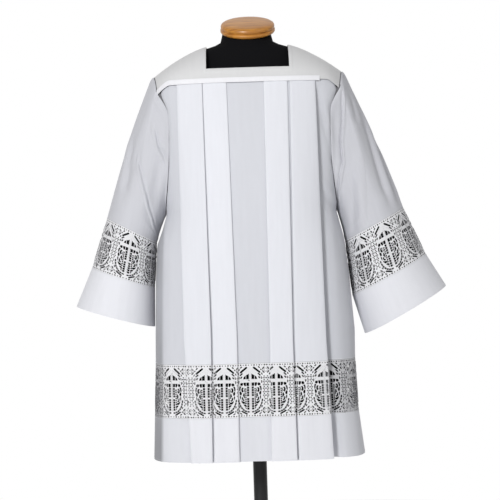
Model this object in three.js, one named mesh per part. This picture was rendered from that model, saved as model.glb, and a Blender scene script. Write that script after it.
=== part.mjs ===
// A knee-length pleated surplice, shown on a limbless dress form that stands on a pole and a round base.
// Millimetres, +Z up, the wearer's front towards -Y. The origin is the centre of the base's underside.
// Each sewn piece is a thin closed wall of its own: yoke, pleated front and back, lace bands, hems,
// sleeves and cuffs. Walls are 0.3 mm or more apart at their seams.
import * as THREE from "three";

// Cloth
const clothWall = 1;
const seamGap = 0.4;
const sleeveSeamGap = 1.6; // from the edge of the body cloth to the middle of the sleeve's wall
const underarmLift = 4.2; // how far the sleeve stands off the body's surface at the underarm

// Heights of the seams above the floor
const ridgeAtNeck = 1457;
const ridgeAtShoulder = 1391;
const yokeSeam = 1366;
const underarm = 1080;
const laceTop = 736;
const laceBottom = 618;
const hemHeight = 520;
const sideDip = 12; // below the waist the cloth hangs this much lower at its sides
const yokeEndDrop = 22; // the yoke's seam runs down this far to each armhole
const yokeStraightHalf = 172; // and is straight this far to each side

// Yoke
const neckHalfWidth = 94;
const shoulderHalfWidth = 217;
const yokeEndHalfWidth = 205; // where the yoke's lower edge meets the armhole
const ridgeDepth = 5; // the shoulder ridge lies this far behind the middle
const ridgeCurve = 1.35; // how the ridge falls away, from straight at 1
const bandHeight = 17;
const bandBelowSeam = 9;

// Level rings of the body at the pleats' faces: half-widths to each side, depths, and how square the ring is.
const bodyRings = [
  { z: 1366, left: 220, right: 222, front: 116, back: 118, square: 3.0 },
  { z: 1250, left: 213, right: 213, front: 134, back: 132, square: 2.8 },
  { z: 1080, left: 199, right: 197, front: 146, back: 144, square: 2.7 },
  { z: 940, left: 214, right: 213, front: 152, back: 151, square: 2.9 },
  { z: 802, left: 228, right: 228, front: 157, back: 158, square: 3.1 },
  { z: 736, left: 232, right: 229, front: 160, back: 162, square: 3.2 },
  { z: 618, left: 239, right: 235, front: 164, back: 167, square: 3.4 },
  { z: 520, left: 245, right: 247, front: 168, back: 172, square: 3.6 },
];

// The armhole on the body: how far in front of and behind the middle the cloth ends at each height.
const armhole = [
  { z: 1366, front: 70, back: 70 },
  { z: 1310, front: 87, back: 88 },
  { z: 1250, front: 89, back: 92 },
  { z: 1190, front: 82, back: 88 },
  { z: 1140, front: 66, back: 72 },
  { z: 1105, front: 42, back: 46 },
  { z: 1080, front: 0, back: 0 },
];

// Box pleats. Each face runs from one visible fold to the other, across the front as the wearer is seen,
// and the returns are how far the cloth is folded under the face at each side, at the same three heights.
const pleatHeights = [1345, 788, 520];
const frontPleats = [
  { left: [-160.6, -160.5, -152], right: [-103.6, -99.9, -104.6], under: [[20, 24, 27], [20, 6, 4.5]] },
  { left: [-101.4, -95.5, -100.2], right: [-48.8, -42.4, -45.1], under: [[18, 6, 4.5], [18, 4, 3]] },
  { left: [35, 30.5, 26.5], right: [87.5, 81.3, 82.7], under: [[18, 4, 3], [18, 6, 4.5]] },
  { left: [93.1, 85.8, 87.1], right: [150.2, 155.8, 164.2], under: [[20, 6, 4.5], [20, 15, 13]] },
];
const backPleats = [
  { left: [-155, -156, -156], right: [-99, -94, -94], under: [[20, 16, 14], [20, 6, 5]] },
  { left: [-95, -90, -90], right: [-43, -36, -34], under: [[18, 6, 5], [18, 5, 4]] },
  { left: [43, 36, 34], right: [95, 90, 90], under: [[18, 5, 4], [18, 6, 5]] },
  { left: [99, 94, 94], right: [155, 156, 156], under: [[20, 6, 5], [20, 16, 14]] },
];
const layerPitch = [2, 3.2, 4.2]; // from one pressed layer to the next

// Sleeves. A row gives the outer and the inner edge of the tube as seen from the front, and its half depth.
const sleeves = {
  left: {
    side: -1,
    bulge: 8, // how far the outer edge stands out from a straight line
    laceTop: { outer: [333.9, 1071], inner: [222, 1012], halfDepth: 88 },
    laceBottom: { outer: [371.8, 958], inner: [230, 908], halfDepth: 93 },
    cuff: { outer: [410.6, 869.5], inner: [232.5, 818], halfDepth: 98 },
  },
  right: {
    side: 1,
    bulge: 5,
    laceTop: { outer: [348.3, 1074], inner: [213, 1003], halfDepth: 88 },
    laceBottom: { outer: [396.9, 966], inner: [226, 877.5], halfDepth: 93 },
    cuff: { outer: [441, 892], inner: [252.5, 787.5], halfDepth: 98 },
  },
};
const bulgeRise = 0.7; // under 1, so that the bulge is fullest above the sleeve's middle
const sleeveRows = [0, 0.1, 0.24, 0.42, 0.62, 0.82, 1];
// Soft troughs down each sleeve: the ring's point they run along at the top and bottom, half width, depth.
const sleeveFolds = [
  { from: 2.4, to: 4.2, wide: 1.5, deep: 7 },
  { from: 7.5, to: 8.6, wide: 1.4, deep: 9 },
  { from: 10.2, to: 10.6, wide: 1.2, deep: 6 },
  { from: 14.2, to: 13.6, wide: 1.3, deep: 7 },
  { from: 17.2, to: 15.9, wide: 1.5, deep: 9 },
  { from: 21.4, to: 20.0, wide: 1.5, deep: 6 },
];

// Lace: one repeat of the band, with its largest gaps as corner points across and up from its middle.
const laceRepeat = 69;
const laceHeight = laceTop - laceBottom;
const lacePhase = -9; // the middle of one repeat, from the middle of the front along the cloth
const laceGaps = [
  { across: [3.4, 8.2, 8.5, 3.7], up: [-33, -30.2, -12.5, -12.8] },
  { across: [3.6, 8.6, 8.3, 3.5], up: [-10, -10.3, 8, 11.5] },
  { across: [4, 13.5, 3.8], up: [25, 24.7, 38] },
  { across: [12.8, 17.8, 19.5, 17.4, 13.1], up: [-22, -13.2, -3, 5.3, 3.1] },
];

// Dress form
const formRings = [
  { z: 596, wide: 192, front: 112, back: 114, square: 2.2 },
  { z: 610, wide: 205, front: 119, back: 122, square: 2.2 },
  { z: 720, wide: 208, front: 122, back: 126, square: 2.2 },
  { z: 850, wide: 200, front: 120, back: 126, square: 2.2 },
  { z: 960, wide: 184, front: 113, back: 120, square: 2.2 },
  { z: 1070, wide: 158, front: 102, back: 104, square: 2.2 },
  { z: 1190, wide: 164, front: 112, back: 108, square: 2.3 },
  { z: 1280, wide: 180, front: 114, back: 112, square: 2.4 },
  { z: 1330, wide: 190, front: 106, back: 108, square: 2.5 },
  { z: 1362, wide: 196, front: 96, back: 101, square: 2.5 },
  { z: 1385, wide: 199, front: 90, back: 96, square: 2.4 },
  { z: 1400, wide: 197, front: 86, back: 92, square: 2.2 },
  { z: 1410, wide: 187, front: 82, back: 88, square: 2.1 },
  { z: 1420, wide: 171.5, front: 77, back: 84, square: 2 },
  { z: 1430, wide: 153.8, front: 71, back: 78, square: 2 },
  { z: 1440, wide: 133.5, front: 66, back: 72, square: 2 },
  { z: 1450, wide: 107, front: 62, back: 66, square: 2 },
  { z: 1454, wide: 91, front: 59, back: 62, square: 2 },
  { z: 1461, wide: 75, front: 56, back: 58, square: 2 },
  { z: 1470, wide: 61, front: 55, back: 56, square: 2 },
];
const formSides = 32;
const neckWide = 55;
const neckDeep = 56;
const neckTop = 1494;
const neckTilt = 0.3; // radians forwards
const capWide = 60;
const capDeep = 66;
const capProfile = [
  { out: 0, up: 0 },
  { out: 0.94, up: 0 },
  { out: 1, up: 4 },
  { out: 1, up: 9 },
  { out: 0.955, up: 12 },
  { out: 0.985, up: 15 },
  { out: 0.97, up: 21 },
  { out: 0.9, up: 25 },
  { out: 0, up: 29 },
];
const socketRadius = 42;
const socketHeight = 14;
const socketFoot = 29; // the radius of its underside
const socketEdge = 5;
const poleRadius = 16;
const baseRadius = 185;
const baseEdge = 9;
const baseHeight = 24;
const baseShoulder = 111;
const baseShoulderHeight = 16;
const baseTop = 35;

const material = (color, roughness, metalness = 0) =>
  new THREE.MeshStandardMaterial({ color, roughness, metalness });
const whiteCloth = material(0xeceef4, 0.85);
const yokeCloth = material(0xf0f1f2, 0.85);
const laceThread = material(0xf6f6f8, 0.9);
const blackJersey = material(0x101012, 0.9);
const turnedWood = material(0xa5662c, 0.45);
const paintedSteel = material(0x1b1b1d, 0.4, 0.6);

const part = new THREE.Group();

function add(name, geometry, finish) {
  const mesh = new THREE.Mesh(geometry, finish);
  mesh.name = name;
  part.add(mesh);
}

const lerp = (a, b, t) => a + (b - a) * t;

// A column of a table whose rows run down from the top, read at height z.
function readTable(rows, column, z) {
  const down = rows[0].z > rows[rows.length - 1].z;
  const sorted = down ? rows : [...rows].reverse();
  if (z >= sorted[0].z) return sorted[0][column];
  for (let i = 1; i < sorted.length; i++) {
    const above = sorted[i - 1];
    const below = sorted[i];
    if (z >= below.z) return lerp(below[column], above[column], (z - below.z) / (above.z - below.z));
  }
  return sorted[sorted.length - 1][column];
}

// A value given for the pleats' three heights, read at height z.
function downCloth(values, z) {
  const [top, middle, bottom] = pleatHeights;
  if (z >= middle) return lerp(values[1], values[0], (z - middle) / (top - middle));
  return lerp(values[2], values[1], (z - bottom) / (middle - bottom));
}

// Half of the body's ring at height z, from the left side to the right, front or back, with lengths along it.
const curveSteps = 240;
function halfRing(face, z) {
  const left = readTable(bodyRings, "left", z);
  const right = readTable(bodyRings, "right", z);
  const depth = readTable(bodyRings, face, z);
  const power = 2 / readTable(bodyRings, "square", z);
  const towards = face === "front" ? -1 : 1;
  const points = [];
  let length = 0;
  for (let k = 0; k <= curveSteps; k++) {
    const angle = (Math.PI * k) / curveSteps;
    const c = Math.cos(angle);
    const wide = c > 0 ? -left : right;
    const x = wide * Math.abs(c) ** power;
    const y = towards * depth * Math.sin(angle) ** power;
    if (k) length += Math.hypot(x - points[k - 1].x, y - points[k - 1].y);
    points.push({ x, y, length });
  }
  return points;
}

// The point and outward normal at a length along a half ring.
function onRing(ring, at) {
  let k = 1;
  while (k < ring.length - 1 && ring[k].length < at) k++;
  const a = ring[k - 1];
  const b = ring[k];
  const t = (at - a.length) / (b.length - a.length);
  const towards = ring[curveSteps / 2].y < 0 ? 1 : -1;
  const size = Math.hypot(b.x - a.x, b.y - a.y);
  return {
    x: lerp(a.x, b.x, t),
    y: lerp(a.y, b.y, t),
    nx: (towards * (b.y - a.y)) / size,
    ny: (-towards * (b.x - a.x)) / size,
  };
}

// The length along a half ring at which x is reached, or at which |y| first or last is.
function lengthAtX(ring, x) {
  const k = ring.findIndex((p) => p.x >= x);
  const a = ring[k - 1];
  const b = ring[k];
  return lerp(a.length, b.length, (x - a.x) / (b.x - a.x));
}
function lengthAtDepth(ring, depth, fromLeft) {
  if (depth <= 0) return fromLeft ? 0 : ring[curveSteps].length;
  const walk = fromLeft ? ring : [...ring].reverse();
  const k = walk.findIndex((p) => Math.abs(p.y) >= depth);
  const a = walk[k - 1];
  const b = walk[k];
  return lerp(a.length, b.length, (depth - Math.abs(a.y)) / (Math.abs(b.y) - Math.abs(a.y)));
}

// The pleated path of the cloth across one half ring: lengths along the ring, depths under the faces,
// and which stretches show. Its number of nodes is the same at every height.
const sideSteps = 5;
const recessSteps = 3;
const nodesPerPleat = 9;
function pleatedPath(face, z) {
  const ring = halfRing(face, z);
  const pleats = face === "front" ? frontPleats : backPleats;
  const pitch = downCloth(layerPitch, z);
  const under = 2 * pitch;
  const depth = z > underarm ? readTable(armhole, face, z) : 0;
  const start = lengthAtDepth(ring, depth, true) + seamGap / 2;
  const end = lengthAtDepth(ring, depth, false) - seamGap / 2;
  const path = [];
  const run = (from, to, steps) => {
    for (let k = 0; k <= steps; k++) path.push({ at: lerp(from, to, k / steps), deep: under, shows: true });
  };
  let reached = start;
  pleats.forEach((pleat, index) => {
    const left = lengthAtX(ring, downCloth(pleat.left, z)) + clothWall / 2;
    const right = lengthAtX(ring, downCloth(pleat.right, z)) - clothWall / 2;
    const underLeft = left + downCloth(pleat.under[0], z);
    const underRight = right - downCloth(pleat.under[1], z);
    if (index === 0) run(reached, left, sideSteps);
    if (index === 2) run(reached, left, recessSteps);
    path.push({ at: underLeft, deep: under }, { at: underLeft, deep: pitch });
    path.push({ at: left, deep: pitch }, { at: left, deep: 0, shows: true });
    path.push({ at: (left + right) / 2, deep: 0, shows: true });
    path.push({ at: right, deep: 0, shows: true }, { at: right, deep: pitch });
    path.push({ at: underRight, deep: pitch }, { at: underRight, deep: under });
    reached = right;
  });
  run(reached, end, sideSteps);
  return { ring, path };
}

// How far the cloth lies below its level ring at x: at the yoke's ends, and at the sides below the waist.
const share = (value, from, to) => Math.min(1, Math.max(0, (value - from) / (to - from)));
const yokeDrop = (x) => yokeEndDrop * share(Math.abs(x), yokeStraightHalf, yokeEndHalfWidth) ** 1.3;
function hangingLower(x, z) {
  const nearYoke = share(z, armhole[1].z, yokeSeam);
  const belowWaist = share(z, bodyRings[3].z, laceTop);
  return nearYoke * yokeDrop(x) + (1 - belowWaist) * sideDip * Math.abs(x / bodyRings[7].left) ** 3;
}

// One row of a body piece: the pleated path as points in space at height z.
function bodyRow(face, z) {
  const { ring, path } = pleatedPath(face, z);
  return path.map(({ at, deep }) => {
    const p = onRing(ring, at);
    return new THREE.Vector3(p.x - deep * p.nx, p.y - deep * p.ny, z - hangingLower(p.x, z));
  });
}

// Outward normals of a grid of points, lengthened at folds so that the wall keeps its thickness.
const leastTurn = 0.66; // the cosine past which a fold's corner isn't lengthened further
function gridNormals(rows, closed, flip) {
  const high = rows.length;
  const wide = rows[0].length;
  const cells = [];
  for (let i = 0; i < high - 1; i++) {
    cells.push([]);
    for (let j = 0; j < (closed ? wide : wide - 1); j++) {
      const k = (j + 1) % wide;
      const across = rows[i][k].clone().sub(rows[i + 1][j]);
      const other = rows[i][j].clone().sub(rows[i + 1][k]);
      cells[i].push(across.cross(other).normalize().multiplyScalar(flip ? -1 : 1));
    }
  }
  return rows.map((row, i) =>
    row.map((_, j) => {
      const near = [];
      for (const a of [i - 1, i])
        for (const b of [j - 1, j]) {
          const column = closed ? (b + wide) % wide : b;
          if (cells[a] && cells[a][column]) near.push(cells[a][column]);
        }
      const mean = near.reduce((sum, n) => sum.add(n), new THREE.Vector3()).normalize();
      const least = Math.min(...near.map((n) => n.dot(mean)));
      return mean.multiplyScalar(1 / Math.max(least, leastTurn));
    }),
  );
}

// A closed wall on a grid of middle points. skip leaves a cell out, and gaps gives the outlines that are
// cut through a cell, as points from 0 to 1 across and down it.
function wall(rows, { closed = false, flip = false, thick = clothWall, skip, gaps } = {}) {
  const normals = gridNormals(rows, closed, flip);
  const high = rows.length;
  const wide = rows[0].length;
  const positions = [];
  const movedOut = (distance) =>
    rows.map((row, i) => row.map((p, j) => p.clone().addScaledVector(normals[i][j], distance)));
  const layers = [movedOut(thick / 2), movedOut(-thick / 2)];
  const triangle = (a, b, c) => {
    for (const p of flip ? [a, c, b] : [a, b, c]) positions.push(p.x, p.y, p.z);
  };
  const quad = (a, b, c, d) => {
    triangle(a, b, c);
    triangle(a, c, d);
  };
  const columns = closed ? wide : wide - 1;
  const present = (i, j) => {
    if (i < 0 || i >= high - 1) return false;
    if (!closed && (j < 0 || j >= columns)) return false;
    return !(skip && skip(i, (j + columns) % columns));
  };
  for (let i = 0; i < high - 1; i++) {
    for (let j = 0; j < columns; j++) {
      if (!present(i, j)) continue;
      const k = (j + 1) % wide;
      const corners = layers.map((layer) => [layer[i][j], layer[i + 1][j], layer[i + 1][k], layer[i][k]]);
      const [o, n] = corners;
      const outlines = gaps ? gaps(i, j) : [];
      if (outlines.length) cutCell(o, n, outlines, triangle, quad);
      else {
        quad(o[0], o[1], o[2], o[3]);
        quad(n[0], n[3], n[2], n[1]);
      }
      if (!present(i, j - 1)) quad(o[0], n[0], n[1], o[1]);
      if (!present(i, j + 1)) quad(o[2], n[2], n[3], o[3]);
      if (!present(i - 1, j)) quad(o[3], n[3], n[0], o[0]);
      if (!present(i + 1, j)) quad(o[1], n[1], n[2], o[2]);
    }
  }
  return new THREE.BufferGeometry().setAttribute(
    "position",
    new THREE.Float32BufferAttribute(positions, 3),
  );
}

// The two faces of one cell with gaps cut through it, and the gaps' edges.
function cutCell(outer, inner, outlines, triangle, quad) {
  const square = [
    [0, 0],
    [0, 1],
    [1, 1],
    [1, 0],
  ].map(([a, b]) => new THREE.Vector2(a, b));
  const holes = outlines.map((points) => {
    const outline = points.map(([a, b]) => new THREE.Vector2(a, b));
    return THREE.ShapeUtils.isClockWise(outline) === THREE.ShapeUtils.isClockWise(square)
      ? outline.reverse()
      : outline;
  });
  const flat = [square, ...holes].flat();
  const place = (corners, { x, y }) =>
    corners[0]
      .clone()
      .lerp(corners[3], x)
      .lerp(corners[1].clone().lerp(corners[2], x), y);
  const out = flat.map((p) => place(outer, p));
  const back = flat.map((p) => place(inner, p));
  const pieces = THREE.ShapeUtils.triangulateShape(square, holes);
  const areaOf = (piece) => THREE.ShapeUtils.area(piece.map((k) => flat[k]));
  const area = pieces.reduce((sum, piece) => sum + areaOf(piece), 0);
  const sameTurn = area > 0 === THREE.ShapeUtils.area(square) > 0;
  for (const [a, b, c] of pieces) {
    const [p, q] = sameTurn ? [b, c] : [c, b];
    triangle(out[a], out[p], out[q]);
    triangle(back[a], back[q], back[p]);
  }
  let first = square.length;
  for (const hole of holes) {
    hole.forEach((_, k) => {
      const a = first + k;
      const b = first + ((k + 1) % hole.length);
      quad(out[a], back[a], back[b], out[b]);
    });
    first += hole.length;
  }
}

// The gaps of one cell of a lace band whose cloth runs from one length to another.
const gapMargin = 1.6; // cloth left between a gap and the next fold line
function gapsBetween(from, to) {
  const found = [];
  const first = Math.floor((from - lacePhase) / laceRepeat) - 1;
  const last = Math.ceil((to - lacePhase) / laceRepeat) + 1;
  for (let repeat = first; repeat <= last; repeat++) {
    for (const gap of laceGaps) {
      for (const side of [-1, 1]) {
        const outline = gap.across.map((across, k) => [
          (lacePhase + repeat * laceRepeat + side * across - from) / (to - from),
          0.5 - gap.up[k] / laceHeight,
        ]);
        const margin = gapMargin / (to - from);
        if (outline.every(([a]) => a > margin && a < 1 - margin)) found.push(outline);
      }
    }
  }
  return found;
}

// Lengths along the folded cloth of a body row, from the middle of the centre recess.
function lengthsAlong(face, z) {
  const { path } = pleatedPath(face, z);
  const row = bodyRow(face, z);
  const lengths = [0];
  for (let j = 1; j < row.length; j++) lengths.push(lengths[j - 1] + row[j].distanceTo(row[j - 1]));
  const recessStart = sideSteps + 1 + 2 * nodesPerPleat;
  const middle = (lengths[recessStart] + lengths[recessStart + recessSteps]) / 2;
  return { path, lengths: lengths.map((l) => l - middle) };
}

// Body pieces, from the yoke seam down: pleated panel, lace band and hem, front and back
const panelRows = [...armhole.map((row) => row.z), 940];
const hemRows = [laceBottom - seamGap, (laceBottom + hemHeight) / 2, hemHeight];
for (const face of ["front", "back"]) {
  const flip = face === "back";
  const rowsAt = (heights) => heights.map((z) => bodyRow(face, z));
  add("panel_" + face, wall(rowsAt([...panelRows, laceTop + seamGap]), { flip }), whiteCloth);

  const { path, lengths } = lengthsAlong(face, (laceTop + laceBottom) / 2);
  const laceRows = rowsAt([laceTop, laceBottom]);
  const cut = (i, j) => {
    const flatStretch = path[j].shows && path[j + 1].shows && path[j].deep === path[j + 1].deep;
    return flatStretch ? gapsBetween(lengths[j], lengths[j + 1]) : [];
  };
  add("lace_" + face, wall(laceRows, { flip, gaps: cut }), laceThread);

  add("hem_" + face, wall(rowsAt(hemRows), { flip }), whiteCloth);
}

// Yoke: the surface from a lower seam over the shoulder ridge, at x across and t from 0 at the seam to 1.
function ridgeHeight(x) {
  const out = Math.max(0, Math.abs(x) - neckHalfWidth) / (shoulderHalfWidth - neckHalfWidth);
  return ridgeAtNeck - (ridgeAtNeck - ridgeAtShoulder) * out ** ridgeCurve;
}
function onYoke(face, x, t) {
  const ring = halfRing(face, yokeSeam);
  const widest = Math.min(bodyRings[0].left, bodyRings[0].right) - clothWall;
  const seam = onRing(ring, lengthAtX(ring, Math.max(-widest, Math.min(widest, x))));
  const angle = (t * Math.PI) / 2;
  const low = yokeSeam + seamGap - yokeDrop(x);
  return new THREE.Vector3(
    x,
    lerp(seam.y, ridgeDepth, 1 - Math.cos(angle)),
    lerp(low, ridgeHeight(x), Math.sin(angle)),
  );
}
const yokeRows = [0, 0.125, 0.25, 0.4, 0.6, 0.8, 1];
const neckRow = 2; // the row at the neck opening's front edge
const yokeColumns = 5; // across each shoulder
const neckColumns = 4;
const yokeEdgeAt = (t) => lerp(yokeEndHalfWidth, shoulderHalfWidth, t);
function yokeAcross(t) {
  const across = [];
  for (let k = 0; k <= yokeColumns; k++)
    across.push(lerp(-yokeEdgeAt(t), -neckHalfWidth, k / yokeColumns));
  for (let k = 1; k < neckColumns; k++)
    across.push(lerp(-neckHalfWidth, neckHalfWidth, k / neckColumns));
  for (let k = 0; k <= yokeColumns; k++)
    across.push(lerp(neckHalfWidth, yokeEdgeAt(t), k / yokeColumns));
  return across;
}
for (const face of ["front", "back"]) {
  const shoulderGap = (seamGap / 2) * (face === "front" ? -1 : 1);
  const rows = yokeRows.map((t) =>
    yokeAcross(t).map((x) => {
      const p = onYoke(face, x, t);
      if (t === 1) p.y += shoulderGap;
      return p;
    }),
  );
  const overNeck = (i, j) => {
    const inColumns = j >= yokeColumns && j < yokeColumns + neckColumns;
    return inColumns && i < yokeRows.length - 1 - neckRow;
  };
  rows.reverse();
  add("yoke_" + face, wall(rows, { flip: face === "back", skip: overNeck }), yokeCloth);
}

// The stitched band over the yoke seam, made from the panel's own points moved out
const bandStand = clothWall + 0.9;
const bandEndInset = 6;
function bandPoint(face, at, up) {
  const ring = halfRing(face, yokeSeam + Math.min(up, 0));
  const p = onRing(ring, at);
  const rise = Math.max(up, 0) / (ridgeHeight(p.x) - yokeSeam + yokeDrop(p.x));
  const y = lerp(p.y, ridgeDepth, 1 - Math.sqrt(1 - rise * rise));
  return new THREE.Vector3(
    p.x + bandStand * p.nx,
    y + bandStand * p.ny,
    yokeSeam + up - yokeDrop(p.x),
  );
}
for (const face of ["front", "back"]) {
  const rows = [bandHeight - bandBelowSeam, 0, -bandBelowSeam].map((up) => {
    const { path } = pleatedPath(face, yokeSeam + Math.min(up, 0));
    const first = path[0].at + bandEndInset;
    const last = path[path.length - 1].at - bandEndInset;
    const stations = path.filter(({ shows }) => shows);
    return stations.map(({ at }) => bandPoint(face, Math.min(last, Math.max(first, at)), up));
  });
  add("yoke_band_" + face, wall(rows, { flip: face === "back" }), yokeCloth);
}

// Sleeves: the armhole's loop of points, from the shoulder down the front to the underarm and up the back
const ringPoints = 24;
function armholeLoop(side) {
  const loop = [];
  const body = (face, z) => {
    const { ring, path } = pleatedPath(face, z);
    const end = side < 0 ? 0 : path.length - 1;
    const { nx, ny } = onRing(ring, path[end].at);
    const row = bodyRow(face, z);
    const outwards = row[end].clone().sub(row[end + side * -1]).setZ(0).normalize();
    if (z === underarm) outwards.set(0, 0, 0);
    const lift = underarmLift * Math.max(0, (armhole[2].z - z) / (armhole[2].z - underarm));
    const lifted = new THREE.Vector3(nx * lift, ny * lift, 0);
    return row[end].clone().addScaledVector(outwards, sleeveSeamGap).add(lifted);
  };
  const shoulder = (face, t) => {
    const x = side * (yokeEdgeAt(t) + sleeveSeamGap);
    const p = onYoke(face, side * yokeEdgeAt(t), t);
    return p.setX(x);
  };
  const front = [...yokeRows].reverse().map((t) => shoulder("front", t));
  const back = yokeRows.slice(0, -1).map((t) => shoulder("back", t));
  loop.push(...front);
  loop.push(...armhole.slice(1).map((row) => body("front", row.z)));
  loop.push(...[...armhole.slice(1, -1)].reverse().map((row) => body("back", row.z)));
  loop.push(...back);
  return loop;
}

// A flat ring of a sleeve: its outer and inner edge in the front view, and its half depth.
function sleeveRing(side, { outer, inner, halfDepth }) {
  const points = [];
  for (let i = 0; i < ringPoints; i++) {
    const angle = (2 * Math.PI * i) / ringPoints;
    const towardsOuter = (1 + Math.cos(angle)) / 2;
    points.push(
      new THREE.Vector3(
        side * lerp(inner[0], outer[0], towardsOuter),
        -halfDepth * Math.sin(angle),
        lerp(inner[1], outer[1], towardsOuter),
      ),
    );
  }
  return points;
}

// The folds fade in from the armhole and are gone a little before the lace.
const foldsEndEarly = 1.15;
const foldsRise = 0.7;
function foldDepth(index, t) {
  let deep = 0;
  for (const fold of sleeveFolds) {
    const away = (index - lerp(fold.from, fold.to, t)) / fold.wide;
    deep += fold.deep * Math.exp(-away * away);
  }
  return deep * Math.sin(Math.PI * Math.min(1, t * foldsEndEarly)) ** foldsRise;
}

for (const [name, sleeve] of Object.entries(sleeves)) {
  const { side } = sleeve;
  const flip = side > 0;
  const loop = armholeLoop(side);
  const top = sleeveRing(side, sleeve.laceTop);
  const bottom = sleeveRing(side, sleeve.laceBottom);
  const edge = sleeveRing(side, sleeve.cuff);
  const middle = new THREE.Vector3();
  const rows = sleeveRows.map((t) => {
    const row = loop.map((p, i) => {
      const q = p.clone().lerp(top[i], t);
      const outer = Math.max(0, Math.cos((2 * Math.PI * i) / ringPoints));
      q.x += side * sleeve.bulge * Math.sin(Math.PI * t ** bulgeRise) * outer;
      return q;
    });
    middle.set(0, 0, 0);
    row.forEach((p) => middle.addScaledVector(p, 1 / ringPoints));
    const inwards = row.map((p) => middle.clone().sub(p).normalize());
    return row.map((p, i) => p.addScaledVector(inwards[i], t > 0 && t < 1 ? foldDepth(i, t) : 0));
  });
  add("sleeve_" + name, wall(rows, { closed: true, flip }), whiteCloth);

  // Rings a little down from another, so that the pieces below a seam stay clear of it
  const apart = (upper, lower, gap) =>
    upper.map((p, i) => p.clone().addScaledVector(lower[i].clone().sub(p).normalize(), gap));
  const laceFirst = apart(top, bottom, seamGap);
  const around = [0];
  for (let i = 0; i < ringPoints; i++) {
    const next = (i + 1) % ringPoints;
    const above = laceFirst[i].distanceTo(laceFirst[next]);
    around.push(around[i] + (above + bottom[i].distanceTo(bottom[next])) / 2);
  }
  const fit = laceRepeat * Math.round(around[ringPoints] / laceRepeat);
  const lengths = around.map((l) => (l * fit) / around[ringPoints] + lacePhase);
  const half = ringPoints / 2;
  for (const [face, first] of [
    ["front", 0],
    ["back", half],
  ]) {
    const strip = (ring) => {
      const run = [];
      for (let k = 0; k <= half; k++) run.push(ring[(first + k) % ringPoints].clone());
      run[0].lerp(run[1], seamGap / run[0].distanceTo(run[1]));
      run[half].lerp(run[half - 1], seamGap / run[half].distanceTo(run[half - 1]));
      return run;
    };
    const cut = (i, j) => gapsBetween(lengths[first + j], lengths[first + j + 1]);
    add(
      "sleeve_lace_" + name + "_" + face,
      wall([strip(laceFirst), strip(bottom)], { flip, gaps: cut }),
      laceThread,
    );
  }
  const cuffFirst = apart(bottom, edge, seamGap);
  const cuffMiddle = cuffFirst.map((p, i) => p.clone().lerp(edge[i], 0.5));
  add("cuff_" + name, wall([cuffFirst, cuffMiddle, edge], { closed: true, flip }), whiteCloth);
}

// A closed solid through level rings of points, with flat ends.
function solidThrough(rings) {
  const positions = [];
  const triangle = (a, b, c) => {
    for (const p of [a, b, c]) positions.push(p.x, p.y, p.z);
  };
  const sides = rings[0].length;
  for (let i = 0; i < rings.length - 1; i++)
    for (let j = 0; j < sides; j++) {
      const k = (j + 1) % sides;
      triangle(rings[i][j], rings[i][k], rings[i + 1][k]);
      triangle(rings[i][j], rings[i + 1][k], rings[i + 1][j]);
    }
  const last = rings.length - 1;
  for (let j = 1; j < sides - 1; j++) {
    triangle(rings[0][0], rings[0][j + 1], rings[0][j]);
    triangle(rings[last][0], rings[last][j], rings[last][j + 1]);
  }
  return new THREE.BufferGeometry().setAttribute(
    "position",
    new THREE.Float32BufferAttribute(positions, 3),
  );
}

function formRing({ z, wide, front, back, square }) {
  const points = [];
  for (let j = 0; j < formSides; j++) {
    const angle = (2 * Math.PI * j) / formSides;
    const c = Math.cos(angle);
    const s = Math.sin(angle);
    points.push(
      new THREE.Vector3(
        Math.sign(c) * wide * Math.abs(c) ** (2 / square),
        Math.sign(s) * (s < 0 ? front : back) * Math.abs(s) ** (2 / square),
        z,
      ),
    );
  }
  return points;
}

// Dress form: torso with its neck, turned wooden neck cap, socket, pole and base
const neckRing = [];
for (let j = 0; j < formSides; j++) {
  const angle = (2 * Math.PI * j) / formSides;
  const p = new THREE.Vector3(neckWide * Math.cos(angle), neckDeep * Math.sin(angle), 0);
  p.applyAxisAngle(new THREE.Vector3(1, 0, 0), neckTilt);
  neckRing.push(p.setZ(p.z + neckTop));
}
add("form_torso", solidThrough([...formRings.map(formRing), neckRing]), blackJersey);

const cap = new THREE.LatheGeometry(
  capProfile.map(({ out, up }) => new THREE.Vector2(out * capWide, up)),
  formSides,
);
cap.rotateX(Math.PI / 2);
cap.scale(1, capDeep / capWide, 1);
cap.translate(0, 0, seamGap);
cap.rotateX(neckTilt);
cap.translate(0, 0, neckTop);
add("form_neck_cap", cap, turnedWood);

const turned = (profile, sides) => {
  const shape = new THREE.LatheGeometry(
    profile.map(([out, up]) => new THREE.Vector2(out, up)),
    sides,
  );
  return shape.rotateX(Math.PI / 2);
};
const torsoUnderside = formRings[0].z;
const socketTop = torsoUnderside - seamGap;
const socketBottom = socketTop - socketHeight;
add(
  "form_socket",
  turned(
    [
      [0, socketBottom],
      [socketFoot, socketBottom],
      [socketRadius, socketBottom + socketEdge],
      [socketRadius, socketTop],
      [0, socketTop],
    ],
    24,
  ),
  paintedSteel,
);
add(
  "form_pole",
  turned(
    [
      [0, baseHeight + seamGap],
      [poleRadius, baseHeight + seamGap],
      [poleRadius, socketBottom - seamGap],
      [0, socketBottom - seamGap],
    ],
    20,
  ),
  paintedSteel,
);
add(
  "form_base",
  turned(
    [
      [0, 0],
      [baseRadius, 0],
      [baseRadius, baseEdge],
      [baseShoulder, baseShoulderHeight],
      [baseTop, baseHeight],
      [0, baseHeight],
    ],
    40,
  ),
  paintedSteel,
);

export default part;
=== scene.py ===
# A knee-length white surplice with box pleats, a square-necked yoke and lace bands above its plain hems,
# on a limbless dress form. Tables are in millimetres and meshes in metres, +Z up, the front towards -Y.
import bisect
import math

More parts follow.
